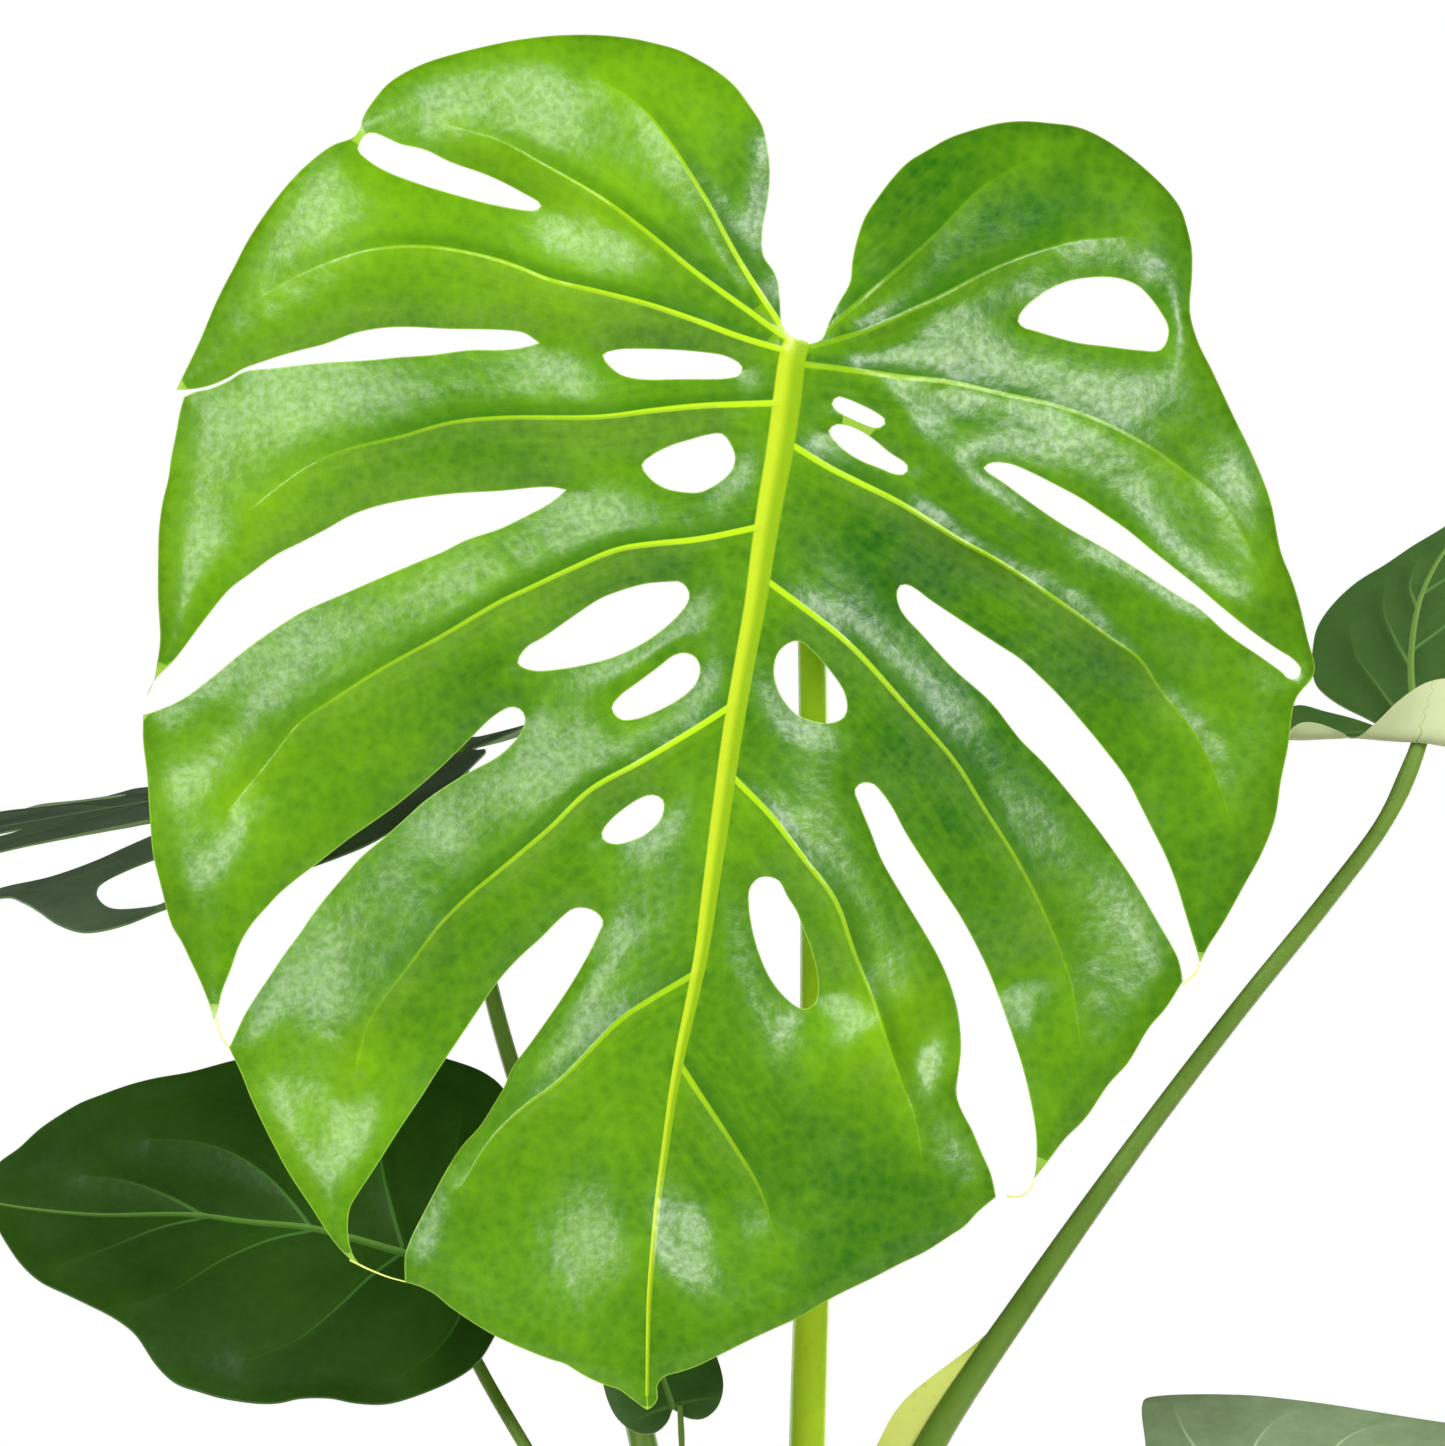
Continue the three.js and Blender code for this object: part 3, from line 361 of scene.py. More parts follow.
# %% Turn a flat blade into a solid one
def build_blade(name, leaf):
    flat, faces = flat_blade(leaf)
    facts = measure_blade(leaf, flat)
    mesh = bpy.data.meshes.new(name)
    mesh.from_pydata([(x, y, 0) for x, y in flat], [], faces.tolist())
    shaped = bmesh.new()
    shaped.from_mesh(mesh)
    number = shaped.verts.layers.int.new("number")
    upper = shaped.verts.layers.int.new("upper")
    for vert in shaped.verts:
        vert[number] = vert.index
    touching = [vert for vert in shaped.verts if sum(edge.is_boundary for edge in vert.link_edges) > 2]
    for vert in touching:
        bmesh.utils.vert_separate(vert, [edge for edge in vert.link_edges if edge.is_boundary])
    raised = bmesh.ops.extrude_face_region(shaped, geom=shaped.faces[:], use_keep_orig=True)["geom"]
    for vert in (item for item in raised if isinstance(item, bmesh.types.BMVert)):
        vert[upper] = 1
    shaped.to_mesh(mesh)
    shaped.free()
    pick, top = np.zeros((2, len(mesh.vertices)), np.int32)
    for mark, values in (("number", pick), ("upper", top)):
        mesh.attributes[mark].data.foreach_get("value", values)
        mesh.attributes.remove(mesh.attributes[mark])
    rise, fall = leaf["faces"](flat, facts)
    height = np.where(top == 1, rise[pick], fall[pick])
    placed = leaf["place"](flat[pick, 0], flat[pick, 1], height)
    mesh.vertices.foreach_set("co", (placed * MM).astype(np.float32).ravel())
    record_marks(mesh, facts, pick, top)
    record_uv(mesh, flat, pick)
    mesh.shade_smooth()
    mesh.set_sharp_from_angle(angle=math.radians(SMOOTH_ANGLE))
    mesh.update()
    blade = bpy.data.objects.new(name, mesh)
    bpy.context.scene.collection.objects.link(blade)
    print(name, "has", sum(len(face.vertices) - 2 for face in mesh.polygons), "triangles")
    return blade


STREAK_RUN = 100.0  # how far apart the two ends of a side vein are in the pattern of its streaks
STREAK_STEP = 40.0  # how far apart the patterns of two side veins are, so that none repeats


def record_marks(mesh, facts, pick, top):
    """Keeps what the materials read, in millimetres, three numbers to an attribute of the points."""
    marks = {
        "lines": (facts["vein"], facts["edge"], facts["rib"]),
        "runs": (facts["vein_run"], facts["paleness"], facts["between"]),
        "streaks": (
            facts["vein_run"] * STREAK_RUN,
            facts["vein"] * facts["vein_side"],
            facts["vein_number"] * STREAK_STEP,
        ),
        # The tones: the painted sheen and shade, the shade painted along each side vein, and the distance
        # from the midrib.
        "tones": (facts["tone"], facts["groove"], facts["across"]),
    }
    for name, columns in marks.items():
        values = np.stack(columns, axis=-1)[pick].astype(np.float32)
        mesh.attributes.new(name, "FLOAT_VECTOR", "POINT").data.foreach_set("vector", values.ravel())
    mesh.attributes.new("face", "FLOAT", "POINT").data.foreach_set("value", top.astype(np.float32))


UV_UNIT = 100.0  # millimetres of leaf to one unit of its UV map


def record_uv(mesh, flat, pick):
    corners = np.zeros(len(mesh.loops), np.int32)
    mesh.loops.foreach_get("vertex_index", corners)
    uv = flat[pick[corners]] / UV_UNIT
    mesh.uv_layers.new(name="leaf").data.foreach_set("uv", uv.astype(np.float32).ravel())


# %% [markdown]
# ## The big leaf, as drawn
# These points were read from straight ahead, going clockwise from the notch where the
# petiole joins. Each stretch starts where the one before it ends, and the stretches meet at the
# corners. A slit is one or two stretches, and the lobes between the slits end in small points. The
# holes near the midrib never reach the margin.

# %% Margin of the big leaf
FRONT_STRETCHES = [
    [(796, 339), (787, 333), (782, 325), (780, 300), (778, 282), (773, 270), (764, 257), (762, 240),
     (764, 221), (768, 199), (770, 173), (768, 150), (762, 125), (750, 106), (735, 86), (717, 71),
     (699, 60), (679, 50), (650, 42), (630, 38), (600, 35), (562, 35), (530, 38), (500, 43), (450, 55),
     (420, 65), (390, 82), (373, 101), (363, 117), (359, 131), (352, 138), (331, 146), (300, 171),
     (272, 204), (248, 240), (235, 265), (217, 300), (200, 340), (176, 390)],
    [(195, 389), (212, 385), (230, 377), (243, 369), (262, 362), (290, 353), (325, 344), (352, 334),
     (375, 329), (401, 327), (450, 329), (500, 330), (524, 333), (539, 343)],
    [(520, 348), (500, 350), (470, 350), (431, 355), (400, 357), (370, 360), (320, 363), (275, 368),
     (243, 372), (230, 380), (212, 388), (195, 392), (184, 397)],
    [(180, 411), (176, 433), (171, 458), (168, 480), (163, 500), (159, 528), (158, 560), (158, 600),
     (160, 640), (157, 663), (153, 684), (145, 698)],
    [(155, 680), (176, 658), (200, 626), (230, 589), (250, 574), (276, 555), (300, 543), (325, 530),
     (350, 516), (371, 508), (400, 501), (450, 494), (500, 491), (550, 487), (566, 490)],
    [(550, 503), (520, 519), (499, 529), (466, 540), (442, 552), (420, 561), (380, 578), (350, 591),
     (302, 612), (276, 628), (240, 654), (216, 674), (181, 700), (150, 713), (143, 715)],
    [(143, 740), (147, 775), (150, 820), (153, 854), (160, 883), (172, 926), (181, 941), (191, 962),
     (200, 981), (208, 1001), (214, 1021)],
    [(218, 1009), (222, 992), (231, 969), (240, 944), (252, 924), (266, 908), (279, 894), (298, 878),
     (318, 863), (350, 838), (373, 822), (398, 804), (437, 771), (473, 736), (488, 721), (500, 712),
     (511, 707), (521, 710), (525, 719), (521, 732), (511, 745), (497, 757), (462, 776), (426, 800),
     (408, 816), (387, 835), (361, 857), (344, 876), (315, 911), (300, 933), (285, 953), (269, 977),
     (256, 996), (245, 1014), (236, 1033), (229, 1048)],
    [(241, 1073), (250, 1096), (262, 1122), (275, 1148), (288, 1172), (311, 1207), (334, 1242),
     (350, 1259), (362, 1267)],
    [(353, 1255), (348, 1233), (350, 1208), (359, 1192), (373, 1171), (401, 1127), (420, 1099),
     (437, 1072), (469, 1024), (500, 979), (520, 957), (541, 938), (560, 919), (573, 909), (585, 908),
     (597, 913), (603, 922), (599, 932), (590, 951), (576, 976), (560, 1001), (529, 1045), (512, 1068),
     (505, 1085), (494, 1104), (480, 1126), (462, 1146), (447, 1169), (435, 1191), (423, 1214),
     (411, 1238), (405, 1256), (405, 1282)],
    [(418, 1286), (433, 1293), (450, 1307), (475, 1324), (497, 1337), (526, 1350), (549, 1359),
     (565, 1364), (583, 1375), (602, 1384), (620, 1390), (629, 1397), (640, 1405), (647, 1410),
     (655, 1404), (658, 1397), (657, 1386), (664, 1377), (680, 1372), (695, 1367), (716, 1357),
     (750, 1340), (776, 1328), (800, 1317), (830, 1299), (875, 1277), (900, 1264), (925, 1252),
     (950, 1236), (965, 1226), (978, 1212), (996, 1197)],
    [(991, 1174), (981, 1151), (972, 1130), (961, 1109), (957, 1096), (958, 1077), (961, 1051),
     (960, 1026), (957, 1007), (950, 983), (941, 962), (931, 943), (905, 900), (881, 858), (871, 832),
     (860, 805), (855, 790), (862, 783), (873, 784), (882, 793), (893, 809), (905, 832), (940, 886),
     (960, 916), (981, 955), (991, 977), (1000, 1001), (1010, 1029), (1021, 1062), (1030, 1098),
     (1036, 1135), (1036, 1167), (1034, 1179)],
    [(1049, 1160), (1065, 1139), (1085, 1119), (1109, 1084), (1128, 1063), (1149, 1028), (1166, 1008),
     (1183, 981)],
    [(1179, 961), (1172, 946), (1161, 927), (1131, 876), (1100, 832), (1075, 800), (1043, 762),
     (1020, 739), (990, 701), (953, 668), (920, 632), (905, 616), (899, 605), (897, 592), (901, 585),
     (908, 585), (917, 590), (930, 600), (960, 620), (1000, 646), (1020, 659), (1040, 677), (1060, 697),
     (1080, 720), (1100, 744), (1127, 780), (1140, 805), (1151, 827), (1165, 855), (1176, 883),
     (1186, 916), (1197, 952), (1200, 963)],
    [(1208, 947), (1224, 922), (1245, 884), (1261, 855), (1275, 819), (1281, 781), (1288, 747),
     (1295, 701), (1302, 690), (1311, 680), (1315, 668), (1308, 640), (1299, 602), (1292, 580),
     (1281, 552), (1270, 499), (1250, 449), (1236, 421), (1211, 368), (1199, 344), (1191, 318),
     (1190, 303), (1192, 278), (1192, 250), (1187, 227), (1181, 209), (1169, 192), (1150, 173),
     (1131, 157), (1103, 138), (1078, 127), (1050, 123), (1023, 121), (1000, 123), (972, 130),
     (949, 138), (929, 149), (908, 162), (895, 175), (878, 197), (865, 217), (856, 243), (852, 263),
     (850, 282), (838, 304), (828, 325), (822, 339), (814, 343), (806, 344)],
]
FRONT_MARGIN = [[FRONT_STRETCHES[i - 1][-1], *stretch] for i, stretch in enumerate(FRONT_STRETCHES)]
print("stretches of the margin:", len(FRONT_MARGIN))

# %% Holes of the big leaf
FRONT_HOLES = [
    [(358, 149), (366, 134), (374, 133), (400, 144), (425, 150), (450, 162), (489, 176), (521, 192),
     (541, 205), (537, 210), (500, 206), (460, 196), (420, 184), (386, 171), (368, 160)],
    [(603, 355), (616, 350), (648, 349), (700, 352), (728, 357), (742, 367), (739, 375), (729, 378),
     (680, 379), (640, 379), (620, 374), (608, 364)],
    [(642, 465), (651, 456), (670, 446), (689, 440), (712, 434), (722, 434), (731, 445), (735, 458),
     (731, 471), (718, 483), (700, 492), (684, 492), (665, 488), (650, 478)],
    [(518, 663), (526, 648), (544, 637), (577, 614), (600, 599), (620, 591), (645, 584), (668, 582),
     (680, 582), (688, 590), (689, 598), (684, 608), (670, 623), (648, 640), (621, 654), (600, 661),
     (560, 669), (531, 670)],
    [(612, 708), (618, 698), (640, 681), (660, 666), (673, 656), (685, 653), (696, 658), (700, 669),
     (696, 683), (688, 692), (671, 704), (650, 714), (635, 719), (620, 719)],
    [(602, 833), (609, 822), (625, 808), (641, 798), (652, 795), (662, 799), (664, 807), (660, 820),
     (647, 833), (630, 841), (615, 844), (604, 840)],
    [(832, 404), (837, 397), (847, 399), (861, 405), (875, 412), (885, 420), (884, 425), (875, 428),
     (863, 424), (850, 418), (840, 413)],
    [(829, 431), (835, 425), (845, 425), (859, 430), (873, 439), (890, 453), (905, 463), (908, 468),
     (904, 474), (895, 474), (880, 468), (860, 460), (842, 448)],
    [(799, 641), (789, 643), (778, 653), (774, 669), (776, 684), (783, 699), (796, 714), (813, 721),
     (830, 723), (843, 718), (847, 708), (844, 692), (834, 676), (819, 658), (807, 646)],
    [(759, 878), (750, 888), (749, 905), (752, 927), (758, 950), (769, 976), (782, 994), (796, 1006),
     (805, 1009), (815, 1003), (818, 990), (817, 973), (811, 950), (802, 926), (797, 912), (787, 896),
     (779, 881), (769, 877)],
    [(1018, 321), (1023, 310), (1035, 299), (1050, 289), (1070, 281), (1100, 277), (1121, 279),
     (1138, 286), (1151, 299), (1161, 313), (1168, 327), (1167, 340), (1160, 350), (1138, 350),
     (1105, 346), (1080, 343), (1056, 337), (1036, 331), (1023, 327)],
    [(984, 468), (991, 463), (1010, 464), (1032, 473), (1050, 482), (1080, 498), (1101, 512),
     (1127, 530), (1150, 549), (1175, 569), (1199, 588), (1220, 606), (1246, 627), (1265, 641),
     (1280, 651), (1294, 660), (1301, 670), (1297, 678), (1289, 679), (1283, 673), (1264, 659),
     (1228, 634), (1199, 608), (1176, 594), (1150, 577), (1128, 563), (1101, 546), (1072, 530),
     (1050, 516), (1023, 497), (1003, 482), (989, 473)],
]
print("holes:", len(FRONT_HOLES))

# %% Midrib and side veins of the big leaf
FRONT_MIDRIB = [
    (798, 340), (793, 355), (787, 400), (780, 450), (771, 500), (763, 550), (756, 600), (747, 650),
    (738, 700), (730, 750), (723, 800), (716, 850), (709, 900), (702, 950), (692, 1000), (681, 1050),
    (672, 1100), (665, 1150), (658, 1200), (653, 1250), (649, 1300), (647, 1395),
]
FRONT_RIB_WIDTHS = [26, 28, 27, 25, 23, 21, 20, 20, 19, 18, 16, 14, 12, 10, 8, 7, 6, 5, 4, 3]
FRONT_VEINS = [
    [(786, 333), (772, 312), (740, 262), (699, 188), (643, 109), (600, 80)],
    [(786, 338), (750, 312), (699, 275), (643, 229), (600, 197), (541, 163), (500, 141), (450, 126)],
    [(784, 350), (740, 337), (700, 322), (650, 305), (600, 292), (550, 280), (520, 268), (490, 258),
     (430, 247), (370, 250), (310, 270), (262, 296)],
    [(778, 403), (700, 406), (650, 411), (600, 417), (500, 418), (450, 423), (400, 437), (340, 452),
     (300, 472), (252, 508)],
    [(758, 527), (740, 531), (700, 539), (620, 549), (575, 567), (530, 588), (500, 602), (440, 637),
     (380, 670), (330, 702), (300, 723), (270, 760), (230, 808)],
    [(731, 706), (700, 726), (640, 762), (590, 790), (550, 828), (500, 870), (470, 895), (440, 925),
     (410, 965), (370, 1020), (356, 1066)],
    [(696, 973), (650, 1000), (620, 1020), (560, 1080), (520, 1110), (490, 1140), (462, 1186)],
    [(820, 335), (860, 301), (901, 266), (935, 235), (979, 190), (1003, 174), (1040, 155)],
    [(812, 346), (868, 330), (901, 315), (935, 299), (1000, 266), (1050, 248), (1087, 239), (1138, 237)],
    [(802, 364), (850, 370), (901, 377), (949, 382), (1003, 394), (1050, 404), (1104, 423), (1151, 448),
     (1189, 475), (1219, 499), (1243, 536), (1264, 580)],
    [(794, 446), (830, 468), (860, 483), (900, 503), (960, 540), (1000, 562), (1060, 602), (1110, 638),
     (1140, 660), (1160, 690), (1195, 735), (1215, 775), (1228, 812)],
    [(770, 583), (800, 605), (850, 645), (905, 705), (955, 762), (985, 810), (1015, 857), (1045, 915),
     (1070, 980), (1080, 1040)],
    [(735, 779), (770, 815), (805, 860), (835, 900), (855, 955), (875, 1005), (895, 1065), (915, 1120),
     (922, 1160)],
    [(681, 1066), (700, 1095), (730, 1140), (760, 1190), (778, 1246)],
]
print("side veins:", len(FRONT_VEINS))

# %% [markdown]
# ## The relief of the big leaf
# The leaf hangs from its notch. Its tip comes towards the viewer and its two basal lobes lean back.
# The blade is pleated: every side vein is a ridge on the upper face and the skin sags in a valley
# between two of them, which is why each lobe has a bright flank and a dark one. Towards the margin
# the whole blade droops, and its cut edges turn down a little. The skin is never quite even: it
# swells here and there, and puckers beside the veins, and each swell catches the light by itself.

# %% How far the big leaf stands out and folds
# In millimetres: how far forward the notch, the tip and the two lobes are, the size of the channel
# along the midrib, how high the ridges and the waves are and how wide a ridge is, the widest gap
# between two veins that still deepens a pleat, how far the edge turns down and how wide that turn
# is, and the thickness of the skin. The others are slopes.
FRONT_LENGTH = 309.1
FRONT = {
    "forward": 47.4,
    "tip_forward": 40.0,
    "lobes_back": (20.0, 34.0),
    "fall": 0.07,
    "channel": 16.0,
    "curl": 0.001,
    "fold": 0.3,
    "pleat": 0.13,
    "widest_pleat": 70.0,
    "ridge": 1.3,
    "ridge_width": 3.4,
    "waves": 1.0,
    "pucker": 0.05,
    "edge_turn": 2.0,
    "turn_width": 10.0,
    "skin": 0.62,
}
VEIN_STRENGTHS = [1, 0.8, 0.8, 1, 1, 1, 0.8, 0.6, 0.6, 0.25, 1, 1, 1, 0.6]
VEIN_PALENESS = [1, 0.9, 1, 1, 1, 1, 0.6, 0.15, 0.2, 0.45, 0.9, 0.9, 0.8, 0.6]
# Each swell: its middle on the drawing, how wide it is there, and how far it tips the skin to the
# right and upwards, in degrees. Away from the middle the slope soon falls, hence the factor.
SWELL_SLOPE = 1.3
SWELLS = [
    (520, 110, 130, -13, -5), (330, 225, 80, -8, 4), (600, 262, 75, -10, 9), (230, 455, 85, -14, 10),
    (212, 830, 80, -5, 19), (360, 1125, 60, -13, 5), (285, 1100, 50, -6, 10), (440, 880, 60, 10, 7),
    (850, 1020, 50, -13, 19), (1020, 1000, 45, -6, 14), (930, 1060, 35, -20, 8), (1230, 585, 50, -7, 6),
    (960, 430, 50, 0, 9), (890, 380, 40, 0, 14), (1140, 640, 80, -16, -16), (1000, 550, 60, -14, -18),
    (1245, 470, 60, -16, -6), (1050, 290, 50, -10, 6), (1170, 290, 40, -12, 0), (680, 1245, 62, 13, 9),
    (765, 1140, 85, -16, -7),
]
# Each place where the pleats die out: its middle on the drawing and its size.
FLAT_PLACES = [(990, 405, 110), (1140, 470, 130)]
# The outer margin is what is left without the slits and without the bay beside the petiole.
BAY_POINTS = 14
OUTER_STRETCHES = [
    FRONT_MARGIN[0][BAY_POINTS:],
    *[FRONT_MARGIN[number] for number in (3, 6, 8, 10, 12)],
    FRONT_MARGIN[14][:-BAY_POINTS],
]
NOTCH = (800, 345)
# Above a line from the notch to the right margin the blade folds back.
HINGE = [(800, 400), (1300, 700)]
HINGE_ROUND = 9.0


# %% Heights of the big leaf's two faces
def rib_section(away, half_width):
    """The rounded section of a rib: 1 on its middle line and 0 from its edge on."""
    return np.sqrt(np.clip(1 - (away / half_width) ** 2, 0, 1))


def ribs_on(leaf, facts, front_size, back_size):
    """How far the midrib and the side veins stand off the two faces."""
    vein_width = leaf["vein_width"](facts["vein_run"])
    vein = rib_section(facts["vein"], vein_width * 1.3) * (1 - 0.8 * facts["vein_run"])
    midrib = rib_section(np.abs(facts["rib"]), 1.0) * (1 - 0.75 * facts["run"])
    front = np.maximum(midrib * front_size[0], vein * front_size[1])
    back = np.maximum(midrib * back_size[0], vein * back_size[1])
    return front, back


# Each place that is painted paler or darker than the rest, partly the flesh's own tone but mostly a
# painted sheen where the shine falls and a painted shade where the blade turns from the light: its
# middle, its size and how much.
SHEEN_AND_SHADE_PLACES = [
    (530, 150, 150, 0.24), (330, 240, 100, 0.22), (590, 270, 90, 0.2), (240, 480, 110, 0.24),
    (420, 560, 90, 0.18), (225, 790, 90, 0.25), (340, 1110, 80, 0.25), (900, 1040, 80, 0.4),
    (1000, 200, 190, -0.2), (980, 720, 190, -0.22), (850, 560, 90, -0.15), (440, 880, 60, -0.15),
    (850, 1170, 110, -0.25), (1230, 720, 70, 0.1), (480, 700, 60, -0.1), (755, 200, 60, -0.18),
    (660, 120, 70, 0.1), (450, 440, 60, -0.1), (1080, 1000, 50, -0.15),
]


def around_middle(points, x, y, size):
    """How far each point is from a drawn middle, and a share that falls from 1 there to 0 around it."""
    away = points - on_sheet([x, y])
    return away, np.exp(-(away**2).sum(axis=1) / (size * SHEET_STEP) ** 2)


# Painted sheen and painted shade: the big leaf's flesh is made paler and darker at the places above.
def front_sheen_and_shade(points):
    tone = np.zeros(len(points))
    for *place, change in SHEEN_AND_SHADE_PLACES:
        tone += change * around_middle(points, *place)[1]
    return tone


def swells_at(points):
    height = np.zeros(len(points))
    for *place, right, up in SWELLS:
        away, share = around_middle(points, *place)
        height += away @ (-np.radians([right, up]) * SWELL_SLOPE) * share
    return height


def front_faces(points, facts):
    x, y = points.T
    notch = on_sheet(NOTCH)
    down = (notch[1] - y) / FRONT_LENGTH
    lobes_back = np.where(x < notch[0], *FRONT["lobes_back"])
    hang = np.where(
        down > 0,
        FRONT["tip_forward"] * np.maximum(down, 0) ** 1.2,
        -lobes_back * (down / 0.3) ** 2,
    )
    hinge = on_sheet(HINGE)
    along = (hinge[1] - hinge[0]) / np.linalg.norm(hinge[1] - hinge[0])
    above = along[0] * (y - hinge[0, 1]) - along[1] * (x - hinge[0, 0])
    above = np.maximum(above - 4, 0) * ease((x - hinge[0, 0]) / 40)
    fold = FRONT["fold"] * (np.hypot(above, HINGE_ROUND) - HINGE_ROUND)
    across = facts["across"]
    fall = FRONT["fall"] * np.hypot(across, FRONT["channel"])
    droop = FRONT["curl"] * across**2
    outer = np.full(len(x), np.inf)
    for stretch in OUTER_STRETCHES:
        outer = np.minimum(outer, measure_to(smooth_line(on_sheet(stretch), 3), points)[0])
    depth = FRONT["pleat"] * np.minimum(facts["gap"], FRONT["widest_pleat"]) * facts["strength"]
    depth *= ease((across + 8) / 65) * ease((outer - 4) / 40)
    for middle_x, middle_y, size in FLAT_PLACES:
        away = np.hypot(*(points - on_sheet([middle_x, middle_y])).T)
        depth *= 1 - 0.75 * np.exp(-((away / (size * SHEET_STEP)) ** 4))
    pleat = depth * np.sin(np.pi * facts["between"])
    ridge = FRONT["ridge"] * np.exp(-((facts["vein"] / FRONT["ridge_width"]) ** 2))
    ridge *= (1 - 0.7 * facts["vein_run"]) * facts["strength"] * ease(across / 30)
    waves = np.sin(x * 0.083 + y * 0.031 + 1.0) + np.sin(y * 0.097 - x * 0.045) * 0.7
    waves *= FRONT["waves"] * ease(across / 60)
    turn = FRONT["edge_turn"] * (1 - np.clip(facts["edge"] / FRONT["turn_width"], 0, 1)) ** 2
    height = FRONT["forward"] + hang - fold - fall - droop - pleat + ridge
    pucker = np.sin(x * 0.61 + y * 0.23) + np.sin(y * 0.57 - x * 0.31 + 1.7) + np.sin(x * 0.42 + y * 0.66)
    pucker *= FRONT["pucker"] * ease((22 - facts["vein"]) / 16) * ease(across / 20)
    pucker *= ease(facts["edge"] / 8)
    height += waves - turn + swells_at(points) + pucker
    front, back = ribs_on(LEAVES["front"], facts, (-0.9, 0.45), (3.6, 1.3))
    return height + FRONT["skin"] / 2 + front, height - FRONT["skin"] / 2 - back


def taper(widths):
    """A rib's half width as a function of the run along it, from widths on the drawing sheet."""
    steps = np.linspace(0, 1, len(widths))
    return lambda run: np.interp(run, steps, np.array(widths) * SHEET_STEP / 2)


def ribs_through(lines):
    return [smooth_line(line, LINE_SPACING) for line in lines]


LEAVES = {
    "front": {
        "margin": cornered([on_sheet(stretch) for stretch in FRONT_MARGIN], EDGE_SPACING),
        "holes": [smooth_line(on_sheet(loop), EDGE_SPACING, closed=True) for loop in FRONT_HOLES],
        "midrib": smooth_line(on_sheet(FRONT_MIDRIB), LINE_SPACING),
        "veins": ribs_through([on_sheet(line) for line in FRONT_VEINS]),
        "strengths": VEIN_STRENGTHS,
        "paleness": VEIN_PALENESS,
        "tone": front_sheen_and_shade,
        "rib_width": taper(FRONT_RIB_WIDTHS),
        "vein_width": taper([7, 6, 5, 4, 3]),
        "spacing": 2.0,
        "faces": front_faces,
        "place": along_sight,
    }
}
print("points on the big leaf's margin:", len(LEAVES["front"]["margin"]))

# %% [markdown]
# ## The other five leaves
# They are only partly in view. Each lies in a plane of its own: y runs up the midrib from the
# petiole and z leaves the upper face. Where enough of an outline shows, it is drawn on the sheet and
# carried along the lines of sight to that plane. The rest follows a heart-shaped outline with a
# length and a width. The older leaf on the left is slit like the big one, the others are entire.

# %% A leaf in a plane of its own
HEART = [
    (0, -0.02), (0.08, -0.11), (0.22, -0.155), (0.37, -0.1), (0.47, 0.04), (0.5, 0.22), (0.48, 0.42),
    (0.41, 0.62), (0.28, 0.8), (0.12, 0.93), (0, 1),
]
OWN_SKIN = 0.6
OWN_WIDEST_PLEAT = 60
MOST_ROLL = 2.75  # how far a rolled edge turns, in radians
EYE = np.array([EYE_X, -EYE_AWAY, EYE_Z])


def heart(length, width):
    right = np.array(HEART) * (width, length)
    left = (right * (-1, 1))[::-1]
    return cornered([right, left], EDGE_SPACING)


def plane_at(origin, towards_tip, facing):
    y = np.array(towards_tip, float)
    y /= np.linalg.norm(y)
    x = np.cross(y, facing)
    x /= np.linalg.norm(x)
    return {"origin": np.array(origin), "x": x, "y": y, "z": np.cross(x, y)}


def drawn_on(plane, points):
    """Where the lines of sight through drawn points meet the plane, in the plane's millimetres."""
    drawn = on_sheet(points)
    sight = np.stack([drawn[:, 0], np.zeros(len(drawn)), drawn[:, 1]], axis=-1) - EYE
    reach = ((plane["origin"] - EYE) @ plane["z"]) / (sight @ plane["z"])
    met = EYE + sight * reach[:, None] - plane["origin"]
    return np.stack([met @ plane["x"], met @ plane["y"]], axis=-1)


def side_veins(length, width, pairs):
    veins = []
    for pair in range(pairs):
        share = pair / (pairs - 1)
        start = share * 0.66 * length
        reach = (0.43 - 0.17 * share) * width
        climb = (-0.09 + 0.27 * (pair + 0.5) / pairs) * length
        for hand in (-1, 1):
            bend = (hand * reach * 0.5, start + climb * 0.3)
            veins.append([(0, start), bend, (hand * reach, start + climb)])
    return veins


def slit(inner, outer, width):
    inner = np.array(inner)
    along = np.array(outer) - inner
    across = np.array([-along[1], along[0]]) / np.linalg.norm(along) * width
    shape = [(0, 0), (0.02, 0.2), (0.1, 0.33), (0.5, 0.42), (1, 0.5)]
    shape += [(t, -side) for t, side in shape[:0:-1]]
    return smooth_line([inner + along * t + across * side for t, side in shape], EDGE_SPACING, closed=True)


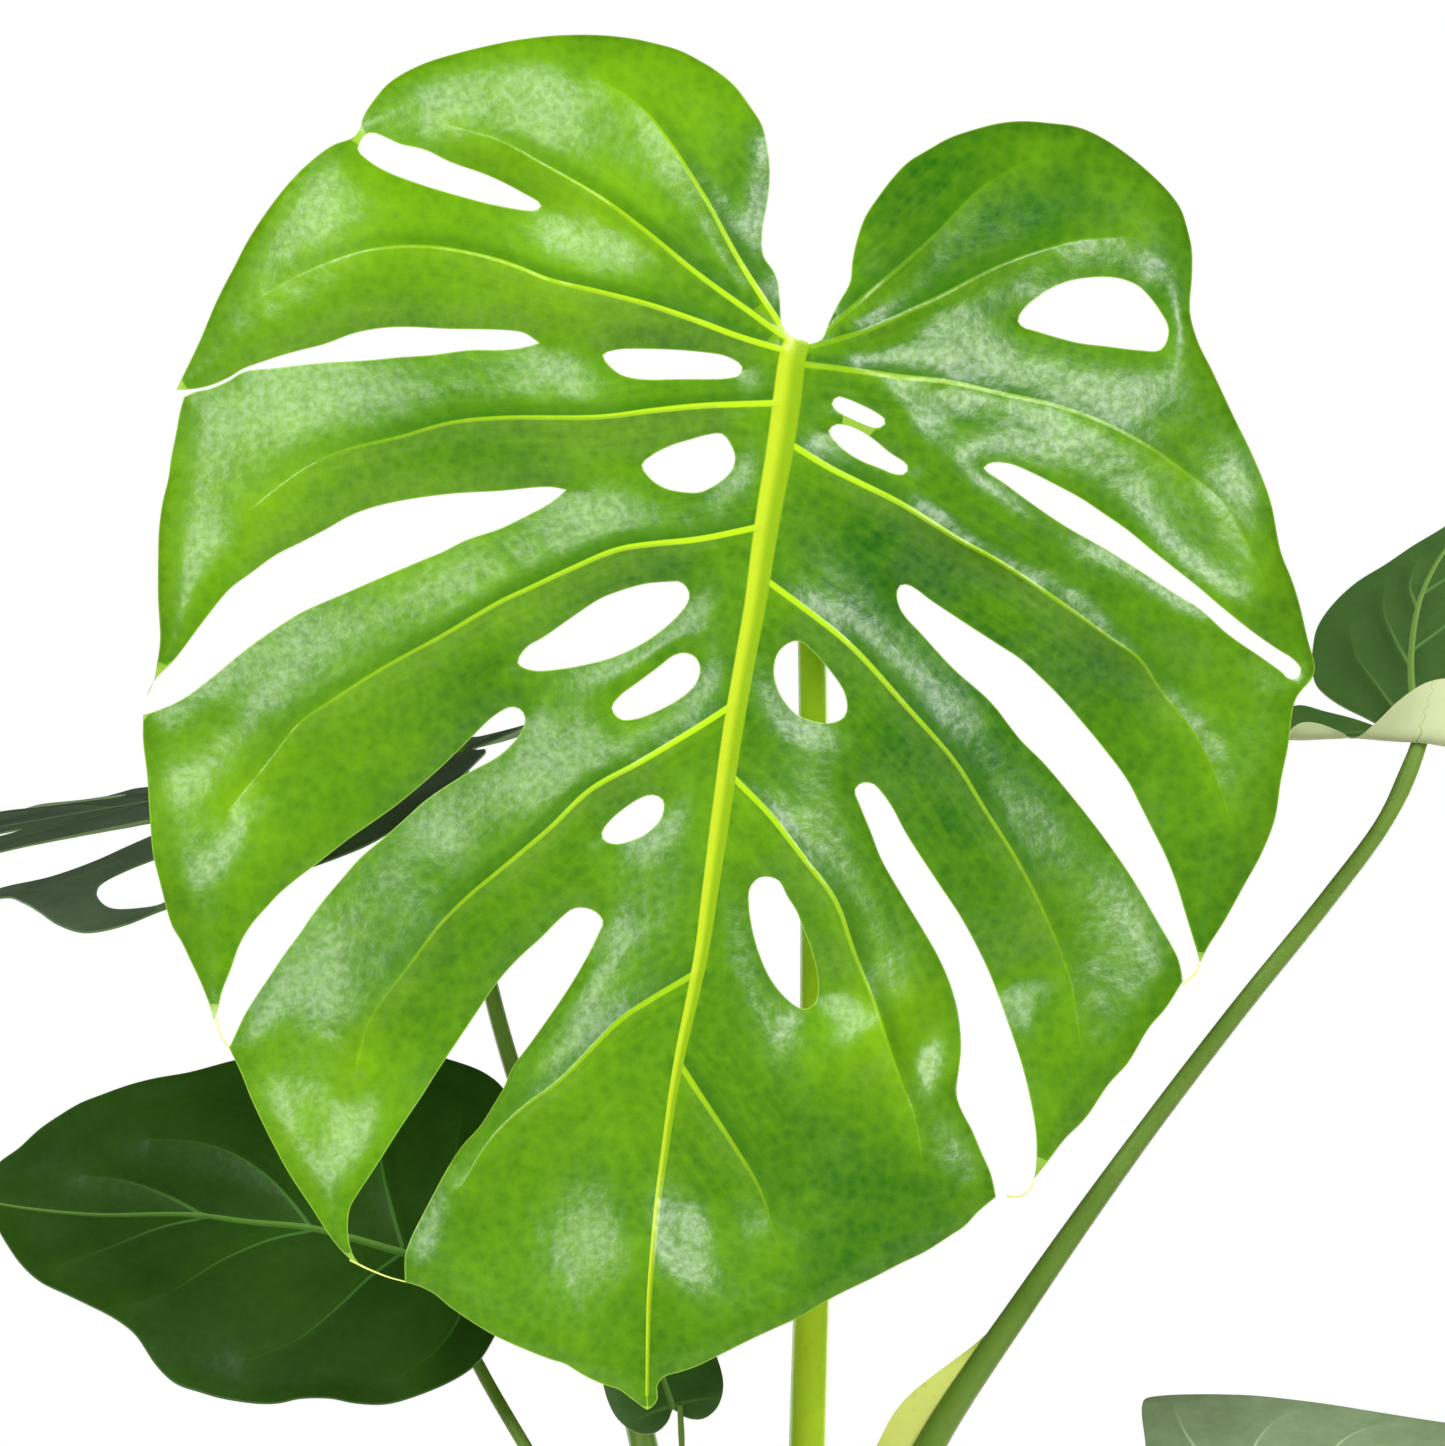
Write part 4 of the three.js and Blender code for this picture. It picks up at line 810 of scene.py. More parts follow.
def own_leaf(length, width, plane, relief, rib, margin=None, midrib=None, veins=None, pairs=3,
             holes=(), spacing=2.6, roll=None):
    """A leaf in its plane. `roll` is the radius of a basal edge that rolls up over the leaf.

    `relief` says how steeply the sides rise and curl down, how far the midrib bows and the basal
    lobes lift, how deep the pleats are, and how high the waves, which are in millimetres.
    """

    def faces(points, facts):
        x, y = points.T
        across = facts["across"] / (width / 2)
        along = y / length
        sides = relief["rise"] * width * across - relief["curl"] * width * across**2.4
        lobes = relief["lift"] * width * np.clip(-along / 0.15, 0, 1) ** 1.5
        depth = relief["pleat"] * np.minimum(facts["gap"], OWN_WIDEST_PLEAT) * ease(across / 0.25)
        pleat = depth * np.sin(np.pi * facts["between"]) * ease(facts["edge"] / 9)
        waves = np.sin(x * 0.09 + y * 0.05) * relief["waves"] * ease(across)
        height = sides - relief["bow"] * length * along**2 + lobes - pleat + waves
        front, back = ribs_on(leaf, facts, (-rib * 0.2, 0.2), (rib * 0.8, rib * 0.35))
        return height + OWN_SKIN / 2 + front, height - OWN_SKIN / 2 - back

    def place(a, b, height):
        if roll:
            turn = np.clip(-b / roll, 0, MOST_ROLL)
            past = np.maximum(-b - roll * turn, 0)
            rolled = -roll * np.sin(turn) - past * np.cos(turn) + height * np.sin(turn)
            height = roll * (1 - np.cos(turn)) + past * np.sin(turn) + height * np.cos(turn)
            b = np.where(b < 0, rolled, b)
        placed = plane["origin"] + a[:, None] * plane["x"] + b[:, None] * plane["y"]
        return placed + height[:, None] * plane["z"]

    margin = heart(length, width) if margin is None else smooth_line(margin, EDGE_SPACING, closed=True)
    midrib = [(0, -0.5), (0, length * 0.97)] if midrib is None else midrib
    leaf = {
        "margin": margin,
        "holes": list(holes),
        "midrib": smooth_line(midrib, LINE_SPACING),
        "veins": ribs_through(side_veins(length, width, pairs) if veins is None else veins),
        "rib_width": lambda run: rib * (1 - run) + 0.4 * run,
        "vein_width": lambda run: rib * 0.45 * (1 - run) + 0.3 * run,
        "spacing": spacing,
        "faces": faces,
        "place": place,
    }
    return leaf


# %% The left leaf, slit and almost edge-on, in its own millimetres
LEFT_MARGIN = [
    (0, -4), (20, -12), (50, -16), (82, -4), (100, 22), (108, 60), (104, 107), (90, 158), (62, 204),
    (26, 240), (0, 255), (-26, 238), (-52, 208), (-72, 176), (-86, 145), (-89, 125), (-90, 114),
    (-97, 107), (-107, 98), (-116, 89), (-122, 78), (-121, 67), (-115, 55), (-108, 30), (-100, 8),
    (-84, -10), (-62, -20), (-40, -21), (-20, -15),
]
LEFT_GAPS = [
    [(-36, 66), (-34, 80), (-37, 95), (-41, 115), (-44, 130), (-52, 150), (-66, 175), (-80, 192),
     (-104, 172), (-96, 150), (-87, 132), (-81, 118), (-79, 104), (-72, 93), (-62, 85), (-53, 78),
     (-44, 70)],
    [(-50, 38), (-58, 48), (-70, 60), (-81, 70), (-86, 76), (-94, 82), (-102, 81), (-111, 74),
     (-113, 64), (-112, 57), (-100, 50), (-86, 44), (-70, 38), (-56, 34)],
]
LEFT_SLIT_WIDTH = 12
LEFT_SLITS = [
    ((-14, 138), (-50, 240)), ((36, 24), (118, 50)), ((34, 72), (108, 133)), ((24, 120), (84, 200)),
    ((14, 160), (52, 240)),
]
LEFT_VEINS = [
    [(0, 4), (-45, 12), (-98, 22)],
    [(0, 34), (-30, 48), (-52, 62), (-68, 75), (-80, 88), (-86, 100)],
    [(0, 98), (-20, 122), (-34, 150), (-48, 180), (-56, 190)],
    [(0, 2), (45, -1), (94, 14)],
    [(0, 30), (40, 48), (80, 70), (102, 86)],
    [(0, 72), (34, 96), (68, 130), (88, 150)],
    [(0, 115), (25, 140), (50, 175), (63, 194)],
]
LEAVES["left"] = own_leaf(
    length=255,
    width=220,
    plane=plane_at(seen_at(462, 752, -72), (-0.93, 0.33, -0.14), (-0.19, -0.126, 0.96)),
    relief={"rise": 0, "curl": 0.064, "bow": 0.02, "lift": 0.05, "pleat": 0.04, "waves": 0.8},
    rib=2.1,
    margin=LEFT_MARGIN,
    veins=LEFT_VEINS,
    holes=[smooth_line(gap, EDGE_SPACING, closed=True) for gap in LEFT_GAPS]
    + [slit(inner, outer, LEFT_SLIT_WIDTH) for inner, outer in LEFT_SLITS],
)

# %% The entire leaf low on the left
LOW_LEFT_PLANE = plane_at(seen_at(455, 1268, -8), (-1, 0.07, 0.12), (0.02, -0.75, 0.62))
LOW_LEFT_MARGIN = [
    (463, 1262), (480, 1262), (500, 1275), (506, 1305), (495, 1335), (475, 1370), (445, 1393),
    (415, 1405), (385, 1411), (355, 1408), (330, 1401), (300, 1398), (275, 1400), (225, 1392),
    (200, 1385), (175, 1377), (155, 1362), (135, 1338), (115, 1323), (90, 1308), (65, 1293), (40, 1278),
    (20, 1258), (4, 1233), (-10, 1205), (-22, 1180), (-12, 1163), (2, 1152), (18, 1143), (40, 1125),
    (60, 1112), (80, 1100), (100, 1092), (130, 1081), (155, 1075), (190, 1070), (230, 1058),
    (280, 1044), (340, 1036), (400, 1042), (445, 1055), (485, 1068), (508, 1088), (516, 1120),
    (508, 1160), (494, 1200), (478, 1235),
]
LOW_LEFT_MIDRIB = [
    (459, 1268), (407, 1255), (354, 1239), (307, 1227), (248, 1220), (189, 1211), (89, 1207), (0, 1192),
    (-16, 1186),
]
LOW_LEFT_VEINS = [
    [(452, 1266), (448, 1215), (455, 1165), (462, 1110)],
    [(404, 1253), (392, 1215), (381, 1165), (384, 1105), (372, 1068)],
    [(312, 1228), (290, 1202), (268, 1180), (236, 1159), (195, 1146), (150, 1142)],
    [(205, 1213), (170, 1195), (130, 1180), (85, 1172)],
    [(452, 1267), (462, 1310), (440, 1354), (402, 1385)],
    [(402, 1254), (372, 1280), (340, 1312), (300, 1342), (250, 1360)],
    [(318, 1229), (270, 1241), (225, 1262), (170, 1298), (130, 1310)],
    [(210, 1214), (160, 1225), (110, 1245), (60, 1262)],
]
LEAVES["low_left"] = own_leaf(
    length=146,
    width=123,
    plane=LOW_LEFT_PLANE,
    relief={"rise": 0.1, "curl": 0.1, "bow": 0.05, "lift": -0.05, "pleat": 0.07, "waves": 2.2},
    margin=drawn_on(LOW_LEFT_PLANE, LOW_LEFT_MARGIN),
    midrib=drawn_on(LOW_LEFT_PLANE, LOW_LEFT_MIDRIB),
    veins=[drawn_on(LOW_LEFT_PLANE, vein) for vein in LOW_LEFT_VEINS],
    rib=1.5,
    spacing=2.2,
)

# %% The young leaf on the right, with its basal edge rolled up
RIGHT_PLANE = plane_at(seen_at(1418, 739, -20), (0.12, 0.66, 0.74), (-0.05, -0.74, 0.66))
RIGHT_MARGIN = [
    (1384, 730), (1366, 719), (1345, 708), (1329, 697), (1316, 683), (1312, 664), (1313, 643),
    (1317, 625), (1330, 605), (1355, 581), (1385, 561), (1413, 540), (1443, 520), (1475, 495),
    (1507, 478), (1522, 500), (1530, 540), (1534, 590), (1530, 640), (1518, 690), (1500, 722),
    (1480, 738),
]
RIGHT_BASE = [
    (17, -6), (15, -16), (10, -23), (2, -22), (-6, -16), (-13, -8), (-20, -2),
]
RIGHT_LOBE = [
    (1345, 746), (1325, 751), (1303, 751), (1288, 744), (1284, 724), (1290, 705), (1300, 703),
    (1325, 711), (1355, 720), (1376, 728), (1382, 731),
]
RIGHT_MIDRIB = [(1417, 737), (1413, 702), (1411, 660), (1416, 614), (1426, 580), (1448, 540), (1490, 494)]
RIGHT_VEINS = [
    [(1415, 728), (1397, 712), (1375, 683), (1357, 657), (1349, 625)],
    [(1411, 668), (1396, 640), (1384, 610), (1385, 582)],
    [(1418, 608), (1410, 582), (1418, 556)],
    [(1416, 722), (1445, 700), (1475, 670), (1498, 640)],
    [(1412, 650), (1445, 625), (1475, 595), (1500, 570)],
    [(1424, 590), (1460, 565), (1490, 540)],
    [(1412, 733), (1370, 733), (1330, 733), (1302, 725)],
]
LEAVES["right"] = own_leaf(
    length=100,
    width=74,
    plane=RIGHT_PLANE,
    relief={"rise": 0.03, "curl": 0.05, "bow": 0.05, "lift": 0, "pleat": 0.05, "waves": 0.5},
    margin=np.vstack([
        drawn_on(RIGHT_PLANE, RIGHT_MARGIN), RIGHT_BASE, drawn_on(RIGHT_PLANE, RIGHT_LOBE),
    ]),
    midrib=drawn_on(RIGHT_PLANE, RIGHT_MIDRIB),
    veins=[drawn_on(RIGHT_PLANE, vein) for vein in RIGHT_VEINS],
    rib=1.2,
    spacing=1.6,
    roll=2.6,
)

# %% The dusty leaf low on the right, and the small one under the big leaf's tip
LOW_RIGHT_PLANE = plane_at(seen_at(1216, 1476, 0), (0.96, -0.2, -0.06), (0.05, -0.42, 0.9))
LOW_RIGHT_MARGIN = [
    (1206, 1474), (1190, 1500), (1165, 1500), (1150, 1475), (1145, 1440), (1142, 1405), (1147, 1393),
    (1160, 1391), (1200, 1392), (1250, 1394), (1290, 1398), (1330, 1402), (1400, 1411), (1445, 1418),
    (1520, 1430), (1600, 1448), (1670, 1478), (1720, 1512), (1660, 1534), (1580, 1556), (1480, 1574),
    (1370, 1580), (1280, 1574), (1215, 1556), (1180, 1536), (1185, 1505),
]
LOW_RIGHT_MIDRIB = [(1210, 1476), (1300, 1478), (1400, 1484), (1500, 1492), (1600, 1500), (1700, 1508)]
LOW_RIGHT_VEINS = [
    [(1214, 1476), (1195, 1450), (1180, 1425), (1172, 1402)],
    [(1250, 1477), (1255, 1448), (1275, 1422), (1300, 1408)],
    [(1320, 1479), (1335, 1450), (1365, 1428), (1400, 1420)],
    [(1410, 1485), (1430, 1460), (1465, 1442), (1500, 1434)],
    [(1250, 1477), (1270, 1510), (1310, 1540), (1350, 1562)],
    [(1360, 1482), (1390, 1512), (1440, 1540), (1480, 1556)],
    [(1470, 1489), (1510, 1512), (1560, 1532)],
]
LEAVES["low_right"] = own_leaf(
    length=160,
    width=124,
    plane=LOW_RIGHT_PLANE,
    relief={"rise": 0.03, "curl": 0.06, "bow": 0.03, "lift": 0, "pleat": 0.03, "waves": 1.0},
    margin=drawn_on(LOW_RIGHT_PLANE, LOW_RIGHT_MARGIN),
    midrib=drawn_on(LOW_RIGHT_PLANE, LOW_RIGHT_MIDRIB),
    veins=[drawn_on(LOW_RIGHT_PLANE, vein) for vein in LOW_RIGHT_VEINS],
    rib=1.6,
)
LEAVES["small"] = own_leaf(
    length=38,
    width=34,
    plane=plane_at(seen_at(672, 1406, 20), (-0.3, 0.35, 0.9), (0, -0.9, 0.4)),
    relief={"rise": 0.08, "curl": 0.14, "bow": 0.08, "lift": -0.05, "pleat": 0.04, "waves": 0.3},
    rib=0.9,
    spacing=1.3,
)
print("leaves:", ", ".join(LEAVES))

# %% [markdown]
# ## Leaf flesh
# A living leaf is a translucent green skin under a thin wax. The wax gives a soft, broad shine, and
# the flesh gives a colour that is never even: paler and yellower along the veins, darker in between,
# flecked where the cells are thinner, with a pale line where the skin ends at a cut edge. Shade is
# painted along the lower side of each side vein and on one flank of the midrib, and the big leaf has
# a painted sheen and painted shade in the places where its shine and shade fall. The new leaf is
# bright and yellowish, the old ones are dark. One recipe makes them all, each from its look.


# %% The recipe for leaf flesh
# A cell of the skin's quilting is a few millimetres wide. Streaks run beside each vein: three to
# its length, and each under two millimetres wide.
CELL_SIZE = 3.2
STREAKS_ALONG = 3
STREAK_WIDTH = 1.8
FLESH_IOR = 1.45


def pattern_scale(size):
    """The scale of a pattern on a leaf's UV map whose parts are that many millimetres wide."""
    return UV_UNIT / size


def leaf_tone(tree, look, marks, patterns):
    """From 0, deep green, to 1, bright: the broad tone, a painted sheen and shade on the big leaf, the
    patterns and the paler veins' sides.
    """
    (tone, _, _), (run, _, share), (from_vein, _, _) = marks["tones"], marks["runs"], marks["lines"]
    along = put(tree, "Mapping", {
        "Vector": put(tree, "Attribute", out="Vector", attribute_name="streaks"),
        "Scale": (STREAKS_ALONG / STREAK_RUN, 1 / STREAK_WIDTH, 1.0),
    })
    band = put(tree, "TexNoise", {"Vector": along, "Scale": 1.0, "Detail": 2.0})
    fading = put(tree, "MapRange", {"Value": run, "From Min": 0.9, "From Max": 0.5})
    beside = put(tree, "MapRange", {"Value": share, "From Min": 0.5, "From Max": 0.3})
    fading = put(tree, "Math", {0: fading, 1: beside}, operation="MULTIPLY")
    band = put(tree, "Math", {0: band, 1: 0.5}, operation="SUBTRACT")
    centred = {}
    for pattern in ("cloud", "blotch", "fleck"):
        centred[pattern] = put(tree, "Math", {0: patterns[pattern], 1: 0.5}, operation="SUBTRACT")
    centred["band"] = put(tree, "Math", {0: band, 1: fading}, operation="MULTIPLY")
    centred["cell"] = patterns["cell"]
    # The broad tone brings in the big leaf's painted sheen and painted shade.
    light = put(tree, "Math", {0: tone, 1: look["base_light"]}, operation="ADD")
    for pattern, signal in centred.items():
        light = put(tree, "Math", {0: signal, 1: look[pattern], 2: light}, operation="MULTIPLY_ADD")
    beside = put(tree, "MapRange", {
        "Value": from_vein, "From Min": 9.0, "From Max": 0.0, "To Max": look["near_vein"],
    }, **SMOOTH)
    return put(tree, "Math", {0: light, 1: beside}, operation="ADD", use_clamp=True)


def leaf_flesh(name, look):
    material, tree, shader = new_material(name)
    uv = put(tree, "UVMap", uv_map="leaf")
    face = put(tree, "Attribute", out="Fac", attribute_name="face")
    marks = {}
    for mark in ("lines", "runs", "tones"):
        read = put(tree, "Attribute", out="Vector", attribute_name=mark)
        marks[mark] = put(tree, "SeparateXYZ", {"Vector": read}, out=None).outputs[:]
    (from_vein, from_edge, over_midrib), (run, paleness, _) = marks["lines"], marks["runs"]

    # Patterns from wide to fine, in millimetres: clouds, blotches, flecks and small quilted cells.
    patterns = {}
    for pattern, size in (("cloud", 38), ("blotch", 8), ("fleck", 2.2)):
        patterns[pattern] = put(tree, "TexNoise", {
            "Vector": uv, "Scale": pattern_scale(size), "Detail": 3.0, "Roughness": 0.6,
        })
    cells = put(tree, "TexVoronoi", {
        "Vector": uv, "Scale": pattern_scale(CELL_SIZE), "Smoothness": 0.6,
    }, feature="SMOOTH_F1")
    patterns["cell"] = put(tree, "Math", {0: cells, 1: 0.55}, operation="SUBTRACT")
    light = leaf_tone(tree, look, marks, patterns)

    # Painted shade: along the lower side of a side vein the skin is painted deeper green, as if it lay in a
    # furrow.
    groove = put(tree, "Math", {0: marks["tones"][1], 1: look["groove"]}, operation="MULTIPLY")

    # Side veins: a thin pale line that fades on its way to the margin.
    width = put(tree, "MapRange", {
        "Value": run, "To Min": look["vein_size"], "To Max": look["vein_size"] * 0.35,
    })
    vein = put(tree, "Math", {0: from_vein, 1: width}, operation="DIVIDE")
    vein = put(tree, "MapRange", {"Value": vein, "From Min": 1.0, "From Max": 0.5}, **SMOOTH)
    strength = put(tree, "MapRange", {
        "Value": run, "From Min": 0.15, "From Max": 0.85, "To Min": 1.0, "To Max": look["vein_end"],
    })
    for share in (strength, paleness):
        vein = put(tree, "Math", {0: vein, 1: share}, operation="MULTIPLY")

    # The midrib: a pale band, on the big leaf yellower and lighter on its left half and greener and
    # darker on its right, a painted light and a painted shade on the two flanks of its channel.
    rib = put(tree, "Math", {0: over_midrib}, operation="ABSOLUTE")
    rib = put(tree, "MapRange", {"Value": rib, "From Min": 1.1, "From Max": 0.9}, **SMOOTH)
    flank = put(tree, "MapRange", {"Value": over_midrib, "From Min": 0.4, "From Max": -0.5}, **SMOOTH)
    rib_colour = put(tree, "Mix", {0: flank, 6: linear(look["rib_shade_side"]), 7: linear(look["rib"])}, **RGBA)

    # The cut edge is pale.
    rim = put(tree, "MapRange", {
        "Value": from_edge, "From Min": look["rim_size"], "From Max": 0.0, "To Max": look["rim_share"],
    }, **SMOOTH)

    # The upper face is built up from the flesh to the rim. On the lower one the ribs show most.
    flesh = put(tree, "Mix", {0: light, 6: linear(look["deep"]), 7: linear(look["bright"])}, **RGBA)
    layers = [(groove, linear(look["shade"])), (vein, linear(look["vein"])), (rib, rib_colour)]
    for share, colour in [*layers, (rim, linear(look["rim"]))]:
        flesh = put(tree, "Mix", {0: share, 6: flesh, 7: colour}, **RGBA)
    under = put(tree, "Mix", {0: light, 6: linear(look["under"]), 7: linear(look["under_light"])}, **RGBA)
    ribs = put(tree, "Math", {0: rib, 1: vein}, operation="MAXIMUM")
    under = put(tree, "Mix", {0: ribs, 6: under, 7: linear(look["rib"])}, **RGBA)

    # Wax shines where it is thick. It is patchy, and the underside has hardly any.
    gloss = put(tree, "Math", {0: patterns["blotch"], 1: 0.34, 2: look["rough"]}, operation="MULTIPLY_ADD")
    under_gloss = put(tree, "MapRange", {"Value": face, "To Min": 0.25, "To Max": 0.0})
    wax = put(tree, "MapRange", {
        "Value": patterns["fleck"], "From Min": 0.38, "From Max": 0.62,
        "To Min": look["wax"] * 0.5, "To Max": look["wax"] * 1.1,
    })
    feed(shader, {
        "Base Color": put(tree, "Mix", {0: face, 6: under, 7: flesh}, **RGBA),
        "Roughness": put(tree, "Math", {0: gloss, 1: under_gloss}, operation="ADD"),
        "IOR": FLESH_IOR,
        "Specular IOR Level": 0.1,
        "Coat Weight": wax,
        "Coat Roughness": look["wax_rough"],
        "Coat IOR": 1.42,
    })

    # Fine relief: quilted cells and flecks.
    quilt = put(tree, "Math", {0: patterns["cell"], 1: 0.9, 2: patterns["fleck"]}, operation="MULTIPLY_ADD")
    for socket, strength in (("Normal", look["quilt"]), ("Coat Normal", look["quilt"] * 2)):
        bump = {"Height": quilt, "Strength": strength, "Distance": 0.7 * MM}
        feed(shader, {socket: put(tree, "Bump", bump, out="Normal")})
    return material


# %% [markdown]
# The young blade is a fresh yellow-green with a lime midrib and a thick, shiny wax. The old blade
# low on the left is deep green with green ribs, and the half-grown ones lie between. The one on the
# left edge is greyed in its colour, a painted sheen for the grey shine of its grazing face, and the
# one low on the right is a pale grey-green.

# %% Young and old leaves
YOUNG = {
    "deep": "#125a00",
    "bright": "#7cb400",
    # The colour of the shade painted along the lower side of each side vein, and how strong it is.
    "shade": "#1a5c00",
    "groove": 0.7,
    "vein": "#b2dd12",
    # The midrib's left flank is painted in rib and its right flank in the darker colour after it, a painted
    # light and a painted shade.
    "rib": "#b8d022",
    "rib_shade_side": "#86ac08",
    "rim": "#b5dc50",
    "under": "#6fa03c",
    "under_light": "#9cc264",
    "cloud": 0.6,
    "blotch": 0.14,
    "fleck": 0.15,
    "cell": 0.24,
    "band": 0.3,
    "near_vein": 0.16,
    "base_light": 0.42,
    "vein_size": 1.2,
    "vein_end": 0.08,
    "rim_size": 0.5,
    "rim_share": 0.5,
    "rough": 0.45,
    "wax": 0.9,
    "wax_rough": 0.29,
    "quilt": 0.07,
}
OLD = {
    **YOUNG,
    "deep": "#122c03",
    "bright": "#355e14",
    "shade": "#0f2604",
    "groove": 0.3,
    "vein": "#436e2c",
    "rib": "#5a8234",
    "rib_shade_side": "#456d25",
    "rim": "#5f7f48",
    "under": "#4c6a3c",
    "under_light": "#7d9464",
    "vein_size": 0.8,
    "vein_end": 0.1,
    "cloud": 0.5,
    "blotch": 0.12,
    "fleck": 0.1,
    "cell": 0.1,
    "band": 0.25,
    "near_vein": 0.1,
    "rough": 0.46,
    "wax": 0.16,
    "wax_rough": 0.34,
    "quilt": 0.08,
}
FRESH = {
    **OLD,
    "deep": "#2e5021",
    "bright": "#567c3c",
    "shade": "#243f15",
    "vein": "#5f8844",
    "rib": "#7fa252",
    "rib_shade_side": "#6b9040",
    "under": "#b3bd8c",
    "under_light": "#d2d9ad",
}
# Painted sheen: the left leaf, seen almost edge-on, is greyed and lightened in its colour for the grey shine
# of its grazing face.
GREY_SHEEN = {
    **OLD,
    "deep": "#2c3c26",
    "bright": "#5c6f54",
    "shade": "#1e2c1a",
    "rib": "#6f8560",
    "rib_shade_side": "#5c7350",
    "cloud": 0.9,
}
# A pale grey-green with wide patches, for the leaf low on the right.
GREY_GREEN = {
    **OLD,
    "deep": "#667b54",
    "bright": "#9cb28a",
    "shade": "#7a9068",
    "cloud": 0.9,
    "blotch": 0.5,
    "vein": "#bccfa4",
    "rib": "#c4d6a0",
    "rough": 0.55,
}
FLESH = {
    "young": leaf_flesh("young monstera leaf, waxed", YOUNG),
    "old": leaf_flesh("old monstera leaf, waxed", OLD),
    "fresh": leaf_flesh("half-grown monstera leaf", FRESH),
    "grey_green": leaf_flesh("old monstera leaf, grey-green", GREY_GREEN),
    "grey_sheen": leaf_flesh("old monstera leaf, greyed as painted sheen", GREY_SHEEN),
}
print("leaf materials:", len(FLESH))

# %% Build the six blades
BLADE_FLESH = {
    "front": "young",
    "left": "grey_sheen",
    "low_left": "old",
    "right": "fresh",
    "low_right": "grey_green",
    "small": "fresh",
}
for name, leaf in LEAVES.items():
    blade = build_blade(f"leaf_{name}", leaf)
    blade.data.materials.append(FLESH[BLADE_FLESH[name]])
    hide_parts(f"blade_{name}")
    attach(blade, "root")

# %% [markdown]
# When the blade unrolled, the strips between its slits tore off the margin. A few dried threads of
# that margin still hang between the tips of neighbouring lobes.

# %% Routes of the dried threads
MARGIN_THREADS = [
    [(350, 1260), (368, 1269), (388, 1277), (406, 1282)],
    [(1007, 1196), (1020, 1196), (1030, 1190), (1034, 1177)],
    [(1183, 984), (1190, 978), (1196, 972), (1200, 960)],
    [(217, 1018), (219, 1032), (228, 1046), (234, 1050)],
]

# %% [markdown]
# ## Stalks and canes
# A petiole is a round, slightly ribbed stalk. It thickens towards its foot, where a thin wing once
# wrapped the next leaf, and it has a short swollen joint under the blade that turns the leaf to the
# light. A curve with a bevel would give an even tube. Here a grid is rolled into a tube along
# the line instead, so that its size can follow the real stalk.


# %% Roll a grid into a tube
def frames_along(line, reference):
    along = np.gradient(line, axis=0)
    along /= np.linalg.norm(along, axis=1)[:, None]
    across = np.cross(along, reference)
    across /= np.linalg.norm(across, axis=1)[:, None]
    return across, np.cross(across, along)


def grid_mesh(columns, rows, shape):
    """A grid operator's mesh bent by `shape`, which maps two numbers from 0 to 1 to a place."""
    built = bmesh.new()
    bmesh.ops.create_grid(built, x_segments=columns, y_segments=rows, size=0.5, calc_uvs=True)
    places = np.array([vert.co[:] for vert in built.verts])
    bent = shape(places[:, 0] + 0.5, places[:, 1] + 0.5) * MM
    for vert, co in zip(built.verts, bent):
        vert.co = co
    bmesh.ops.remove_doubles(built, verts=built.verts, dist=MERGED)
    return built


def tube(line, radius, columns=20, spacing=4.0, section=None):
    """A closed tube along a line. `radius` gives its size along the run from 0 to 1."""
    line = smooth_line(line, spacing)
    across, outward = frames_along(line, np.array([0.0, -1.0, 0.0]))
    rows = len(line) - 1

    def shape(u, v):
        i = np.rint(v * rows).astype(int)
        turn = 2 * np.pi * u
        size = radius(v) * (section(turn, v) if section else 1.0)
        ring = np.cos(turn)[:, None] * outward[i] + np.sin(turn)[:, None] * across[i]
        return line[i] + ring * size[:, None]

    built = grid_mesh(columns, rows, shape)
    bmesh.ops.holes_fill(built, edges=[edge for edge in built.edges if edge.is_boundary], sides=0)
    bmesh.ops.recalc_face_normals(built, faces=built.faces)
    return built, line


def finish_mesh(name, built, smooth_angle=SMOOTH_ANGLE):
    mesh = bpy.data.meshes.new(name)
    built.to_mesh(mesh)
    built.free()
    mesh.shade_smooth()
    mesh.set_sharp_from_angle(angle=math.radians(smooth_angle))
    made = bpy.data.objects.new(name, mesh)
    bpy.context.scene.collection.objects.link(made)
    return made


# %% [markdown]
# The routes repeat the solids' own: each stalk starts on its cane or in the soil, and ends at the
# back of its blade. Its foot is given in millimetres, and the rest as places on the drawing sheet
# with how far each is brought forward. The wings of the three big petioles are thin sheets beside
# the stalk.

